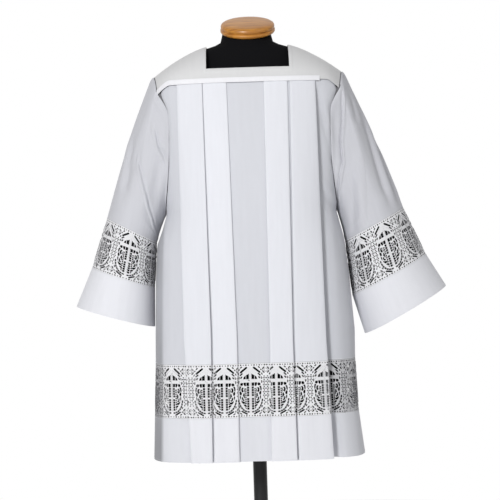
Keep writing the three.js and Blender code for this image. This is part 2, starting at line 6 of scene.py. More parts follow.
import bmesh
import bpy
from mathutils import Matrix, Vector


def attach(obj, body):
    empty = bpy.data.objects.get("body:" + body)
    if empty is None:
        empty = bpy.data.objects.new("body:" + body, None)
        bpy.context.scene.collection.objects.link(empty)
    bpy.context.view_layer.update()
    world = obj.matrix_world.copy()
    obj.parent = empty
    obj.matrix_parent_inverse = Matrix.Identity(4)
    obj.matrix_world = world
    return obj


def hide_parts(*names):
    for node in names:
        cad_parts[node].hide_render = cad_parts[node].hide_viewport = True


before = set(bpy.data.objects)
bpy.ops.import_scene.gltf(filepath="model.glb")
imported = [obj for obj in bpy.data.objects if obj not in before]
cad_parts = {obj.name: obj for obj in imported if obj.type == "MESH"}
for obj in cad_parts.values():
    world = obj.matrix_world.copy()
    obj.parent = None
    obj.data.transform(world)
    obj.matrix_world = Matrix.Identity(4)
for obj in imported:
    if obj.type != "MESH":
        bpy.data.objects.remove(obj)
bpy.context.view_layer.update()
bpy.ops.object.select_all(action="DESELECT")

MM = 0.001

# The studio: a plain pale floor, a room that is white behind the form and dimmer in front of it, and soft
# lamps in front. The camera stands level with the waist and leans a little to the right.
camera_place = (-7.5, -3600, 987)
camera_roll = 0.0314
camera_sensor = 36
camera_lens = 112.2
camera_data = bpy.data.cameras.new("camera")
camera_data.sensor_width = camera_sensor
camera_data.lens = camera_lens
camera = bpy.data.objects.new("camera", camera_data)
camera.location = [MM * value for value in camera_place]
camera.rotation_euler = (math.pi / 2, camera_roll, 0)
bpy.context.collection.objects.link(camera)
bpy.context.scene.camera = camera


# Sets a node's inputs to values, or links them to other nodes' outputs.
def set_inputs(tree, node, inputs):
    for name, value in inputs.items():
        if isinstance(value, bpy.types.NodeSocket):
            tree.links.new(value, node.inputs[name])
        else:
            node.inputs[name].default_value = value


def add_node(tree, kind, inputs, **settings):
    node = tree.nodes.new("ShaderNode" + kind)
    for name, value in settings.items():
        setattr(node, name, value)
    set_inputs(tree, node, inputs)
    return node


def new_finish(name):
    material = bpy.data.materials.new(name)
    material.use_nodes = True
    return material, material.node_tree


def set_finish(tree, inputs):
    set_inputs(tree, tree.nodes["Principled BSDF"], inputs)


floor_radius = 2.5
bpy.ops.mesh.primitive_circle_add(vertices=96, radius=floor_radius, fill_type="NGON")
floor = bpy.context.object
floor.name = "floor"
floor_paint, floor_tree = new_finish("floor_paint")
set_finish(floor_tree, {"Base Color": (0.86, 0.86, 0.87, 1), "Roughness": 0.9})
floor.data.materials.append(floor_paint)
bpy.ops.object.select_all(action="DESELECT")

room = bpy.data.worlds.new("room")
room.use_nodes = True
room_tree = room.node_tree
direction = add_node(room_tree, "TexCoord", {})
split = add_node(room_tree, "SeparateXYZ", {"Vector": direction.outputs["Generated"]})
backwards = add_node(room_tree, "MapRange", {"Value": split.outputs["Y"], "From Min": 0.1, "From Max": 0.8,
                                             "To Min": 0.36, "To Max": 1}, interpolation_type="SMOOTHSTEP")
set_inputs(room_tree, room_tree.nodes["Background"], {"Color": backwards.outputs["Result"], "Strength": 1})
bpy.context.scene.world = room
bpy.context.scene.view_settings.view_transform = "Standard"


def lamp(name, place, target, size, power):
    data = bpy.data.lights.new(name, "AREA")
    data.size = size
    data.energy = power
    light = bpy.data.objects.new(name, data)
    light.location = place
    light.rotation_euler = (Vector(target) - Vector(place)).to_track_quat("-Z", "Y").to_euler()
    bpy.context.collection.objects.link(light)


lit_point = (0, 0, 1.0)
lamp("key_lamp", (-1.2, -3.2, 2.1), lit_point, 0.7, 76)
lamp("fill_lamp", (2.8, -2.8, 2.4), lit_point, 1.4, 15)

# The dress form's base, pole and socket: turned steel, painted satin black. The pole stands in the base and
# carries the torso on the socket.


# A piece turned on a lathe: rings of (radius, height), each grown out of the one before.
def turned(name, profile, sides):
    radius, height = profile[0]
    bpy.ops.mesh.primitive_circle_add(vertices=sides, radius=MM * radius, fill_type="NGON",
                                      location=(0, 0, MM * height))
    piece = bpy.context.object
    piece.name = name
    bpy.ops.object.mode_set(mode="EDIT")
    bpy.ops.mesh.select_all(action="SELECT")
    for next_radius, next_height in profile[1:]:
        rise = MM * (next_height - height)
        bpy.ops.mesh.extrude_region_move(TRANSFORM_OT_translate={"value": (0, 0, rise)})
        grown = next_radius / radius
        bpy.ops.transform.resize(value=(grown, grown, 1), center_override=(0, 0, MM * next_height))
        radius, height = next_radius, next_height
    bpy.ops.mesh.select_all(action="SELECT")
    bpy.ops.mesh.normals_make_consistent(inside=False)
    bpy.ops.object.mode_set(mode="OBJECT")
    bpy.ops.object.transform_apply(location=True, rotation=True, scale=True)
    bpy.ops.object.shade_smooth_by_angle(angle=math.radians(28))
    return piece


satin_black, paint_tree = new_finish("satin_black")
paint_place = add_node(paint_tree, "TexCoord", {}).outputs["Object"]
paint_noise = add_node(paint_tree, "TexNoise", {"Vector": paint_place, "Scale": 420, "Detail": 2})
paint_grain = paint_noise.outputs["Fac"]
paint_rough = add_node(paint_tree, "MapRange", {"Value": paint_grain, "To Min": 0.34, "To Max": 0.52})
paint_bump = add_node(paint_tree, "Bump", {"Height": paint_grain, "Strength": 0.2, "Distance": 0.0002})
set_finish(paint_tree, {"Base Color": (0.014, 0.014, 0.015, 1), "Specular IOR Level": 0.4,
                        "Roughness": paint_rough.outputs["Result"], "Normal": paint_bump.outputs["Normal"]})
stand = {
    "base": [(183.6, 0), (185, 1.4), (185, 7.4), (184.4, 8.6), (182.8, 9.2), (111, 16), (36.5, 23.8),
             (33.5, 24)],
    "pole": [(15, 24.4), (16, 25.4), (16, 580.2), (15, 581.2)],
    "socket": [(28, 581.6), (29.6, 582), (41.2, 586), (42, 587.4), (42, 594.8), (41.2, 595.6)],
}
for name, profile in stand.items():
    piece = turned("stand_" + name, profile, 96 if name == "base" else 64)
    piece.data.materials.append(satin_black)
    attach(piece, "root")
    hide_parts("form_" + name)
bpy.ops.object.select_all(action="DESELECT")

# The dress form's torso: a padded shell with its neck, covered in black cotton jersey cut in eight panels.
# The seams between them run from the hips up to the neck.
form_rings = [
    (596, 192, 112, 114, 2.2), (610, 205, 119, 122, 2.2), (720, 208, 122, 126, 2.2),
    (850, 200, 120, 126, 2.2), (960, 184, 113, 120, 2.2), (1070, 158, 102, 104, 2.2),
    (1190, 164, 112, 108, 2.3),
    (1280, 180, 114, 112, 2.4), (1330, 190, 106, 108, 2.5), (1362, 196, 96, 101, 2.5),
    (1385, 199, 90, 96, 2.4), (1400, 197, 86, 92, 2.2), (1410, 187, 82, 88, 2.1), (1420, 171.5, 77, 84, 2),
    (1430, 153.8, 71, 78, 2), (1440, 133.5, 66, 72, 2), (1450, 107, 62, 66, 2), (1454, 91, 59, 62, 2),
    (1459, 75, 56, 58, 2), (1466, 61, 55, 56, 2),
]
form_bottom = (597, 184, 104, 106, 2.2, 4)
form_columns = 96
form_panels = 8
form_seam_depth = 0.9
form_ring_step = 12
neck_lean = 0.4
neck_top = 1490
neck_half_width = 55
neck_half_depth = 56


def lerp(a, b, t):
    return a + (b - a) * t


def form_row(z, wide, front, back, square, inside=0):
    row = []
    for j in range(form_columns):
        angle = 2 * math.pi * j / form_columns
        c, d = math.cos(angle), math.sin(angle)
        x = math.copysign((wide - inside) * abs(c) ** (2 / square), c)
        y = math.copysign(((front if d < 0 else back) - inside) * abs(d) ** (2 / square), d)
        row.append(Vector((x, y, z)))
    return row


# A new object for a mesh, in the scene and active.
def new_piece(name, mesh):
    piece = bpy.data.objects.new(name, mesh)
    bpy.context.collection.objects.link(piece)
    bpy.context.view_layer.objects.active = piece
    return piece


form_rows = [form_row(*form_bottom)]
for below, above in zip(form_rings, form_rings[1:]):
    steps = max(1, round((above[0] - below[0]) / form_ring_step))
    for k in range(steps):
        form_rows.append(form_row(*[lerp(a, b, k / steps) for a, b in zip(below, above)]))
form_rows.append(form_row(*form_rings[-1]))
neck = []
for j in range(form_columns):
    angle = 2 * math.pi * j / form_columns
    y = neck_half_depth * math.sin(angle)
    x = neck_half_width * math.cos(angle)
    neck.append(Vector((x, y * math.cos(neck_lean), neck_top + y * math.sin(neck_lean))))
form_rows += [[a.lerp(b, k / 4) for a, b in zip(form_rows[-1], neck)] for k in (1, 2, 3, 4)]
for row in form_rows[1:]:
    middle = sum(row, Vector()) / form_columns
    for j in range(0, form_columns, form_columns // form_panels):
        row[j] = row[j] + form_seam_depth * (middle - row[j]).normalized()
form_faces = [tuple(range(form_columns - 1, -1, -1))]
for i in range(len(form_rows) - 1):
    low, high = i * form_columns, (i + 1) * form_columns
    for j in range(form_columns):
        k = (j + 1) % form_columns
        form_faces.append((low + j, low + k, high + k, high + j))
form_faces.append(tuple((len(form_rows) - 1) * form_columns + j for j in range(form_columns)))
form_mesh = bpy.data.meshes.new("torso_jersey")
form_mesh.from_pydata([MM * p for row in form_rows for p in row], [], form_faces)
torso = new_piece("torso_jersey", form_mesh)
torso.select_set(True)
bpy.ops.object.shade_smooth_by_angle(angle=math.radians(40))
torso.select_set(False)
black_jersey, knit_tree = new_finish("black_jersey")
knit_place = add_node(knit_tree, "TexCoord", {})
knit_loops = add_node(knit_tree, "TexVoronoi", {"Vector": knit_place.outputs["Object"], "Scale": 900})
knit_bump = add_node(knit_tree, "Bump", {"Height": knit_loops.outputs["Distance"], "Strength": 0.4,
                                         "Distance": 0.0004})
set_finish(knit_tree, {"Base Color": (0.006, 0.006, 0.007, 1), "Roughness": 0.95, "Specular IOR Level": 0.08,
                       "Normal": knit_bump.outputs["Normal"]})
torso.data.materials.append(black_jersey)
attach(torso, "root")
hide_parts("form_torso")

# The neck cap: a turned hardwood cap on the neck, oiled and polished, with a groove under its rounded top.
# It leans with the neck's cut top.
cap_profile = [
    (56.4, 0.4), (58.4, 1.6), (60, 4.4), (60, 9), (59.2, 10.6), (57.3, 12), (57.3, 13), (58.6, 14.2),
    (59.1, 16), (58.8, 19.4), (57.4, 22.6), (54, 25.2), (48, 26.7), (38, 27.9), (26, 28.8), (12, 29.3),
    (4, 29.4),
]
cap_stretch = (1.05, 1.1, 0.86)
cap_aside = 3
cap = turned("neck_cap", cap_profile, 96)
cap.scale = cap_stretch
bpy.ops.object.transform_apply(location=True, rotation=True, scale=True)
cap.rotation_euler = (neck_lean, 0, 0)
cap.location = (MM * cap_aside, 0, MM * neck_top)
bpy.ops.object.transform_apply(location=True, rotation=True, scale=True)
turned_wood, wood_tree = new_finish("turned_wood")
wood_place = add_node(wood_tree, "TexCoord", {}).outputs["Object"]
wood_lay = add_node(wood_tree, "Mapping", {"Vector": wood_place, "Rotation": (0.3, 0.12, 0.5),
                                           "Scale": (2.2, 14, 30)})
grain = add_node(wood_tree, "TexNoise", {"Vector": wood_lay.outputs["Vector"], "Scale": 7, "Detail": 5,
                                         "Distortion": 0.8}).outputs["Fac"]
wood_tone = add_node(wood_tree, "ValToRGB", {"Fac": grain})
for stop, (position, colour) in zip(wood_tone.color_ramp.elements, ((0.3, (0.34, 0.12, 0.014, 1)),
                                                                   (0.68, (0.6, 0.26, 0.035, 1)))):
    stop.position = position
    stop.color = colour
wood_bump = add_node(wood_tree, "Bump", {"Height": grain, "Strength": 0.15, "Distance": 0.0004})
set_finish(wood_tree, {"Base Color": wood_tone.outputs["Color"], "Roughness": 0.42, "Coat Weight": 0.15,
                       "Coat Roughness": 0.2, "Normal": wood_bump.outputs["Normal"]})
cap.data.materials.append(turned_wood)
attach(cap, "root")
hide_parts("form_neck_cap")
bpy.ops.object.select_all(action="DESELECT")

# The pleated front and back: fine white cloth pressed into four box pleats on each face, a wide recess at
# the middle and a flat strip at each side, cut away for the sleeves. It hangs from the yoke's seam.
cloth_wall = 0.9
yoke_seam = 1366
underarm = 1080
lace_top = 736
lace_bottom = 618
hem_height = 520
side_dip = 12
seam_gap = 0.4
yoke_end_drop = 18
yoke_straight_half = 178
yoke_end_half = 205
plain_white = 0.8 # how white a sheet looks that has no pleats
shade_fade = 34 # from the side seam, over which the painted shade comes in
# the near-black colour of the painted shade on the front's left side and beside its last pleat
painted_shade_colour = (0.05, 0.05, 0.06, 1)
thread_apart = 0.55
# Level rings at the pleats' faces: height, half-widths to the left and right, depths in front and behind,
# and how square the ring is.
ring_columns = ("z", "left", "right", "front", "back", "square")
body_rings = [dict(zip(ring_columns, ring)) for ring in (
    (1366, 220, 222, 116, 118, 3.0),
    (1250, 213, 213, 134, 132, 2.8),
    (1080, 199, 197, 146, 144, 2.7),
    (1045, 211.5, 205, 147.5, 145.7, 2.75),
    (1012, 225, 214, 149, 147.5, 2.8),
    (940, 230.5, 223, 152, 151, 2.9),
    (802, 236, 233, 157, 158, 3.1),
    (736, 238, 232, 160, 162, 3.2),
    (618, 244, 237, 164, 167, 3.4),
    (520, 249, 249, 168, 172, 3.6),
)]
waist_height = 940
# At heights down the armhole, how far in front of and behind the middle the cloth ends.
armhole = [dict(zip(("z", "front", "back"), row)) for row in (
    (1366, 70, 70), (1310, 87, 88), (1250, 89, 92), (1190, 82, 88), (1140, 66, 72), (1105, 42, 46),
    (1080, 0, 0),
)]
# Each pleat's left and right visible folds across the garment and how far the cloth is folded under them,
# all at three heights, and how white its layers look together.
pleat_heights = (1345, 788, 520)
pleat_columns = ("left", "right", "under_left", "under_right", "white")
pleat_table = {
    "front": [
        ((-160.6, -160.5, -152), (-103.6, -99.9, -104.6), (20, 24, 27), (20, 6, 4.5), 0.86),
        ((-101.4, -95.5, -100.2), (-48.8, -42.4, -45.1), (18, 6, 4.5), (18, 4, 3), 1.0),
        ((35, 30.5, 26.5), (87.5, 81.3, 82.7), (18, 4, 3), (18, 6, 4.5), 0.94),
        ((93.1, 85.8, 87.1), (150.2, 155.8, 164.2), (20, 6, 4.5), (20, 15, 13), 0.8),
    ],
    "back": [
        ((-155, -156, -156), (-99, -94, -94), (20, 16, 14), (20, 6, 5), 0.88),
        ((-95, -90, -90), (-43, -36, -34), (18, 6, 5), (18, 5, 4), 0.95),
        ((43, 36, 34), (95, 90, 90), (18, 5, 4), (18, 6, 5), 0.95),
        ((99, 94, 94), (155, 156, 156), (20, 6, 5), (20, 16, 14), 0.88),
    ],
}
pleats = {face: [dict(zip(pleat_columns, row)) for row in rows] for face, rows in pleat_table.items()}
layer_pitch = (1.4, 3.2, 4.2) # from one pressed layer to the next, at the three heights
side_white = 0.22
recess_white = 0.3


def share(value, start, end):
    return min(1, max(0, (value - start) / (end - start)))


def read_rows(rows, column, z):
    if z >= rows[0]["z"]:
        return rows[0][column]
    for above, below in zip(rows, rows[1:]):
        if z >= below["z"]:
            return lerp(below[column], above[column], (z - below["z"]) / (above["z"] - below["z"]))
    return rows[-1][column]


def down_cloth(values, z):
    top, middle, bottom = pleat_heights
    if z >= middle:
        return lerp(values[1], values[0], (z - middle) / (top - middle))
    return lerp(values[2], values[1], (z - bottom) / (middle - bottom))


ring_steps = 240
widest_bend = 1.6 # of the cloth where it is folded
stations_apart = 0.1
kept_rings = {}


# Half of the body's ring at height z from the left side to the right, as (x, y, length along it).
def half_ring(face, z):
    if (face, z) in kept_rings:
        return kept_rings[face, z]
    left, right = read_rows(body_rings, "left", z), read_rows(body_rings, "right", z)
    depth, power = read_rows(body_rings, face, z), 2 / read_rows(body_rings, "square", z)
    towards = -1 if face == "front" else 1
    points = []
    length = 0
    for k in range(ring_steps + 1):
        angle = math.pi * k / ring_steps
        c = math.cos(angle)
        x = (-left if c > 0 else right) * abs(c) ** power
        y = towards * depth * math.sin(angle) ** power if 0 < k < ring_steps else 0
        if k:
            length += math.hypot(x - points[-1][0], y - points[-1][1])
        points.append((x, y, length))
    kept_rings[face, z] = points
    return points


# The place and outward direction at a length along a half ring.
def on_ring(face, ring, at):
    low, high = 0, len(ring) - 1
    while high - low > 1:
        middle = (low + high) // 2
        if ring[middle][2] < at:
            low = middle
        else:
            high = middle
    a, b = ring[low], ring[high]
    t = (at - a[2]) / (b[2] - a[2])
    towards = 1 if face == "front" else -1
    size = math.hypot(b[0] - a[0], b[1] - a[1])
    nx, ny = towards * (b[1] - a[1]) / size, -towards * (b[0] - a[0]) / size
    return lerp(a[0], b[0], t), lerp(a[1], b[1], t), nx, ny


def length_at_x(ring, x):
    k = next(k for k, p in enumerate(ring) if p[0] >= x)
    a, b = ring[k - 1], ring[k]
    return lerp(a[2], b[2], (x - a[0]) / (b[0] - a[0]))


def length_at_depth(ring, depth, from_left):
    if depth <= 0:
        return 0 if from_left else ring[-1][2]
    walk = ring if from_left else ring[::-1]
    k = next(k for k, p in enumerate(walk) if abs(p[1]) >= depth)
    a, b = walk[k - 1], walk[k]
    return lerp(a[2], b[2], (depth - abs(a[1])) / (abs(b[1]) - abs(a[1])))


# The cloth's folded path across one half ring: lengths along the ring, depths under the pleats' faces and
# whiteness. Every height gives the same number of stations.
def pleated_path(face, z, side_steps=14, face_steps=10, recess_steps=12):
    ring = half_ring(face, z)
    pitch = down_cloth(layer_pitch, z)
    depth = read_rows(armhole, face, z) if z > underarm else 0
    start = length_at_depth(ring, depth, True) + seam_gap / 2
    end = length_at_depth(ring, depth, False) - seam_gap / 2
    bend = min(pitch / 2, widest_bend)
    path = []

    def run(a, b, deep_a, deep_b, steps, white):
        for k in range(steps + 1):
            path.append((lerp(a, b, k / steps), lerp(deep_a, deep_b, k / steps), white))

    def turn(at, reach, deep_a, deep_b, white):
        for k in (1, 2, 3):
            angle = math.pi * k / 4
            deep = lerp(deep_a, deep_b, (1 - math.cos(angle)) / 2)
            path.append((at + reach * math.sin(angle), deep, white))

    reached = start
    for index, pleat in enumerate(pleats[face]):
        left, right = (length_at_x(ring, down_cloth(pleat[side], z)) for side in ("left", "right"))
        under_left, under_right = (down_cloth(pleat[side], z) for side in ("under_left", "under_right"))
        low_left, low_right = min(bend, under_left / 3), min(bend, under_right / 3)
        inner_left, inner_right = left + under_left - low_left, right - under_right + low_right
        white = pleat["white"]
        steps_before, white_before = {0: (side_steps, side_white), 2: (recess_steps, recess_white)}.get(
            index, (3, side_white))
        if index in (0, 2):
            run(reached, left, 2 * pitch, 2 * pitch, steps_before, white_before)
            reached = left + stations_apart
        run(reached, inner_left, 2 * pitch, 2 * pitch, 2, white_before)
        turn(inner_left, low_left, 2 * pitch, pitch, white)
        run(inner_left, left + bend, pitch, pitch, 2, white)
        turn(left + bend, -bend, pitch, 0, white)
        run(left + bend, right - bend, 0, 0, face_steps, white)
        turn(right - bend, bend, 0, pitch, white)
        run(right - bend, inner_right, pitch, pitch, 2, white)
        turn(inner_right, -low_right, pitch, 2 * pitch, white)
        after = recess_white if index == 1 else side_white
        path.append((inner_right, 2 * pitch, after))
        reached = inner_right + stations_apart
        if index in (1, 3):
            run(reached, right, 2 * pitch, 2 * pitch, 2, after)
            reached = right + stations_apart
    run(reached, end, 2 * pitch, 2 * pitch, side_steps, side_white)
    return ring, path


def yoke_drop(x):
    return yoke_end_drop * share(abs(x), yoke_straight_half, yoke_end_half) ** 1.3


def hanging_lower(x, z):
    near_yoke = share(z, armhole[1]["z"], yoke_seam)
    below_waist = share(z, waist_height, lace_top)
    return near_yoke * yoke_drop(x) + (1 - below_waist) * side_dip * abs(x / body_rings[-1]["left"]) ** 3


# Soft troughs and ridges down the cloth: each one's height and place across at its top and
# at its bottom, its half width and how far it stands out.
body_creases = {
    "front": [
        (1180, -196, 520, -210, 7, 2.4), (1180, 200, 520, 226, 9, 2.4), (1000, 176, 520, 200, 13, -3.0),
        (900, -184, 520, -190, 12, -1.2), (1352, 158, 1210, 183, 5, -3.4), (1352, 166, 1210, 191, 6, 2.4),
        (1134, 157, 1084, 186, 6, -4.5), (1148, 162, 1098, 191, 7, 3), (760, -4, 520, -10, 18, -2.2),
        (720, 55, 520, 52, 14, 1.2), (700, -130, 520, -126, 12, 1.0), (700, 126, 520, 128, 13, -1.1),
        (700, -74, 520, -72, 12, -1.0),
    ],
    "back": [
        (1180, -198, 520, -216, 8, 2.4), (1180, 198, 520, 218, 8, 2.4), (1000, 178, 520, 188, 12, -2.4),
        (1000, -176, 520, -186, 12, -2.4), (820, 2, 520, 8, 18, -2.2),
    ],
}


def crease(face, x, z):
    out = 0
    for top, x_top, bottom, x_bottom, wide, high in body_creases[face]:
        if z < top:
            t = (top - z) / (top - bottom)
            away = (x - lerp(x_top, x_bottom, t)) / wide
            ends = min(1, 3 * t) * max(0, 1 - 3 * max(0, t - 1))
            out += high * math.exp(-away * away) * ends * (0.7 + 0.3 * math.cos(9 * t + x_top))
    return out


seam_dip = 2.6 # how far the cloth dips at the armhole seam
seam_dip_wide = 5
# The cloth beside the front's last pleat falls well back from it: how far, at heights down the cloth, and
# between which places across from the pleat's edge it falls and rises again.
fallen_back = [(1366, 0), (1335, 7), (1200, 11), (900, 15), (700, 24), (520, 30)]
falls_from, falls_to = -14, -2
rises_from, rises_to = 5, 34


def falls_back(face, x, z):
    edge = down_cloth(pleats["front"][3]["right"], z)
    if face == "back" or x < edge + falls_from:
        return 0
    steps = zip(fallen_back, fallen_back[1:])
    far = next(lerp(low, high, share(z, bottom, top)) for (top, high), (bottom, low) in steps if z >= bottom)
    still_back = 0.5 + 0.5 * math.cos(math.pi * share(x, edge + rises_from, edge + rises_to))
    return far * share(x, edge + falls_from, edge + falls_to) * still_back


def body_row(face, z, **steps):
    ring, path = pleated_path(face, z, **steps)
    dip = seam_dip * share(z, underarm, underarm + 30)
    lowest = 2 * down_cloth(layer_pitch, z) - 0.01
    row = []
    for at, deep, white in path:
        x, y, nx, ny = on_ring(face, ring, at)
        out = crease(face, x, z) - deep
        if deep > lowest:
            out -= falls_back(face, x, z)
        from_seam = min(at - path[0][0], path[-1][0] - at)
        out -= dip * math.exp(-(from_seam / seam_dip_wide) ** 2)
        row.append(Vector((x + out * nx, y + out * ny, z - hanging_lower(x, z))))
    return row, [white for _, _, white in path]


# Gives a flat sheet its thickness, half to each side.
def thicken(piece, wall, **settings):
    solidify = piece.modifiers.new("wall", "SOLIDIFY")
    solidify.thickness = MM * wall
    solidify.offset = 0
    for name, value in settings.items():
        setattr(solidify, name, value)
    bpy.ops.object.modifier_apply(modifier="wall")


# A sheet of cloth through rows of points: its mesh, a flat map of the cloth in metres, how white each
# point looks, and a wall of real thickness.
def cloth_sheet(name, rows, whites=None, closed=False, wall=cloth_wall, skip=None):
    mesh = bpy.data.meshes.new(name)
    wide = len(rows[0])
    columns = wide if closed else wide - 1
    points = [MM * p for row in rows for p in row]
    faces = []
    cells = []
    for i in range(len(rows) - 1):
        for j in range(columns):
            if skip and skip(i, j):
                continue
            k = (j + 1) % wide
            faces.append((i * wide + j, (i + 1) * wide + j, (i + 1) * wide + k, i * wide + k))
            cells.append((i, j))
    mesh.from_pydata(points, [], faces)
    middle = rows[len(rows) // 2]
    across = [0]
    for j in range(columns):
        across.append(across[-1] + MM * (middle[(j + 1) % wide] - middle[j]).length)
    down = [0]
    for upper, lower in zip(rows, rows[1:]):
        down.append(down[-1] - MM * sum((a - b).length for a, b in zip(upper, lower)) / wide)
    uv = mesh.uv_layers.new(name="cloth").data
    for face, (i, j) in enumerate(cells):
        for corner, (a, b) in enumerate(((i, j), (i + 1, j), (i + 1, j + 1), (i, j + 1))):
            uv[4 * face + corner].uv = (across[b], down[a])
    white = mesh.attributes.new("white", "FLOAT", "POINT").data
    for i in range(len(rows)):
        for j in range(wide):
            white[i * wide + j].value = whites[j] if whites else plain_white
    piece = new_piece(name, mesh)
    piece.select_set(True)
    if skip:
        bpy.ops.object.mode_set(mode="EDIT")
        bpy.ops.mesh.select_all(action="SELECT")
        bpy.ops.mesh.delete_loose()
        bpy.ops.object.mode_set(mode="OBJECT")
    thicken(piece, wall)
    bpy.ops.object.shade_smooth_by_angle(angle=math.radians(50))
    piece.select_set(False)
    return piece


shade_low, shade_high = 0.6, 0.32 # at the left side, at the foot of the cloth and at the waist
shade_cloth, shade_open_work = 0.1, 0.35 # beside the last pleat
shade_side_top, shade_pleat_top = 1190, 1340


# Where the front turns away at its left side, and beside its last pleat, the cloth is painted darker towards
# near black:
# painted shade for the shade that falls there. This says how much at each point of a piece.
def shade_at(x, z, open_work):
    fold = lerp(-214, -199, share(z, 560, 1040))
    at_side = lerp(shade_low, shade_high, share(z, 560, 900)) * share(fold - x, 0, 4)
    edge = down_cloth(pleats["front"][3]["right"], z)
    at_pleat = (shade_open_work if open_work else shade_cloth) * share(x, edge, edge + 5)
    return at_side * share(shade_side_top - z, 0, 110) + at_pleat * share(shade_pleat_top - z, 0, 60)


# Keeps on each point of a piece how much painted shade it gets, which fades out towards the side seam.
def paint_side_shade(piece, open_work=False):
    shade = piece.data.attributes.new("shade", "FLOAT", "POINT").data
    for v in piece.data.vertices:
        if v.co.y < 0:
            from_seam = share(-v.co.y / MM, 0, shade_fade)
            shade[v.index].value = from_seam * shade_at(v.co.x / MM, v.co.z / MM, open_work)


# A colour mixed with the near-black painted shade colour, as far as each point of the piece is painted in
# shade.
def in_shade(tree, colour):
    amount = add_node(tree, "Attribute", {}, attribute_name="shade").outputs["Fac"]
    darker = add_node(tree, "Mix", {"Factor": amount, "A": colour, "B": painted_shade_colour}, data_type="RGBA")
    return darker.outputs["Result"]


# Fine plain-woven cloth: a pale single layer that turns whiter where layers lie on each other.
def woven_cloth(name, single, layered):
    material, tree = new_finish(name)
    flat = add_node(tree, "UVMap", {}, uv_map="cloth").outputs["UV"]
    white = add_node(tree, "Attribute", {}, attribute_name="white").outputs["Fac"]
    tone = add_node(tree, "Mix", {"Factor": white, "A": (*single, 1), "B": (*layered, 1)}, data_type="RGBA")
    along = add_node(tree, "Mapping", {"Vector": flat, "Scale": (8, 0.7, 1)})
    cloudy = add_node(tree, "TexNoise", {"Vector": along.outputs["Vector"], "Scale": 14, "Detail": 3})
    uneven = add_node(tree, "MapRange", {"Value": cloudy.outputs["Fac"], "To Min": 0.955, "To Max": 1.02})
    toned = add_node(tree, "Mix", {"Factor": 1, "A": tone.outputs["Result"], "B": uneven.outputs["Result"]},
                     data_type="RGBA", blend_type="MULTIPLY")
    # The threads across and down the cloth, as the weave's two inputs
    threads = {}
    for index, direction in enumerate(("X", "Y")):
        wave = add_node(tree, "TexWave", {"Vector": flat, "Scale": 2 * math.pi / (20 * thread_apart * MM),
                                          "Distortion": 0.6}, bands_direction=direction)
        threads[index] = wave.outputs["Fac"]
    weave = add_node(tree, "Math", threads, operation="MULTIPLY")
    fine = add_node(tree, "Bump", {"Height": weave.outputs["Value"], "Strength": 0.25, "Distance": 0.0002})
    soft = add_node(tree, "TexNoise", {"Vector": flat, "Scale": 22, "Detail": 2})
    rumple = add_node(tree, "Bump", {"Height": soft.outputs["Fac"], "Strength": 0.35, "Distance": 0.003,
                                     "Normal": fine.outputs["Normal"]})
    # The base colour is darkened where the piece carries painted shade.
    set_finish(tree, {"Base Color": in_shade(tree, toned.outputs["Result"]), "Roughness": 0.82,
                      "Sheen Weight": 0.15, "Specular IOR Level": 0.25, "Normal": rumple.outputs["Normal"]})
    return material


body_cloth = woven_cloth("white_cloth", (0.59, 0.6, 0.64), (0.77, 0.78, 0.825))


def lengths_of(row):
    lengths = [0]
    for a, b in zip(row, row[1:]):
        lengths.append(lengths[-1] + (b - a).length)
    return lengths


def down_to(top, bottom, step):
    steps = round((top - bottom) / step)
    return [lerp(top, bottom, k / steps) for k in range(steps + 1)]


# The panel's top edge, turned in under the yoke and its band.
def tucked_in(p):
    return p + Vector((-0.01 * p.x, -0.02 * p.y, 5 + 7 * share(abs(p.x), 160, yoke_straight_half)))


panel_row_step = 10
for face in ("front", "back"):
    heights = down_to(yoke_seam, lace_top + seam_gap, panel_row_step)
    rows, whites = zip(*[body_row(face, z) for z in heights])
    rows = [[tucked_in(p) for p in rows[0]], *rows]
    panel = cloth_sheet("cloth_" + face, rows, whites[0])
    panel.data.materials.append(body_cloth)
    paint_side_shade(panel)
    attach(panel, "root")
    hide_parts("panel_" + face)

# The lace bands: cotton lace about 118 mm high let in between the body and its hems, and round both sleeves.
# One repeat is drawn flat: a cross in a pointed frame between scrolls, with netting and rosettes from one
# repeat to the next. Repeats are joined side by side and laid on the pleated cloth or round the sleeve.
lace_wall = 0.8
raised_wall = 0.7
raised_out = 0.7
lace_repeat = 69
lace_phase = -9
lace_middle = -7 # the place across that its repeats are counted from
half_repeat = lace_repeat / 2
half_band = (lace_top - lace_bottom) / 2


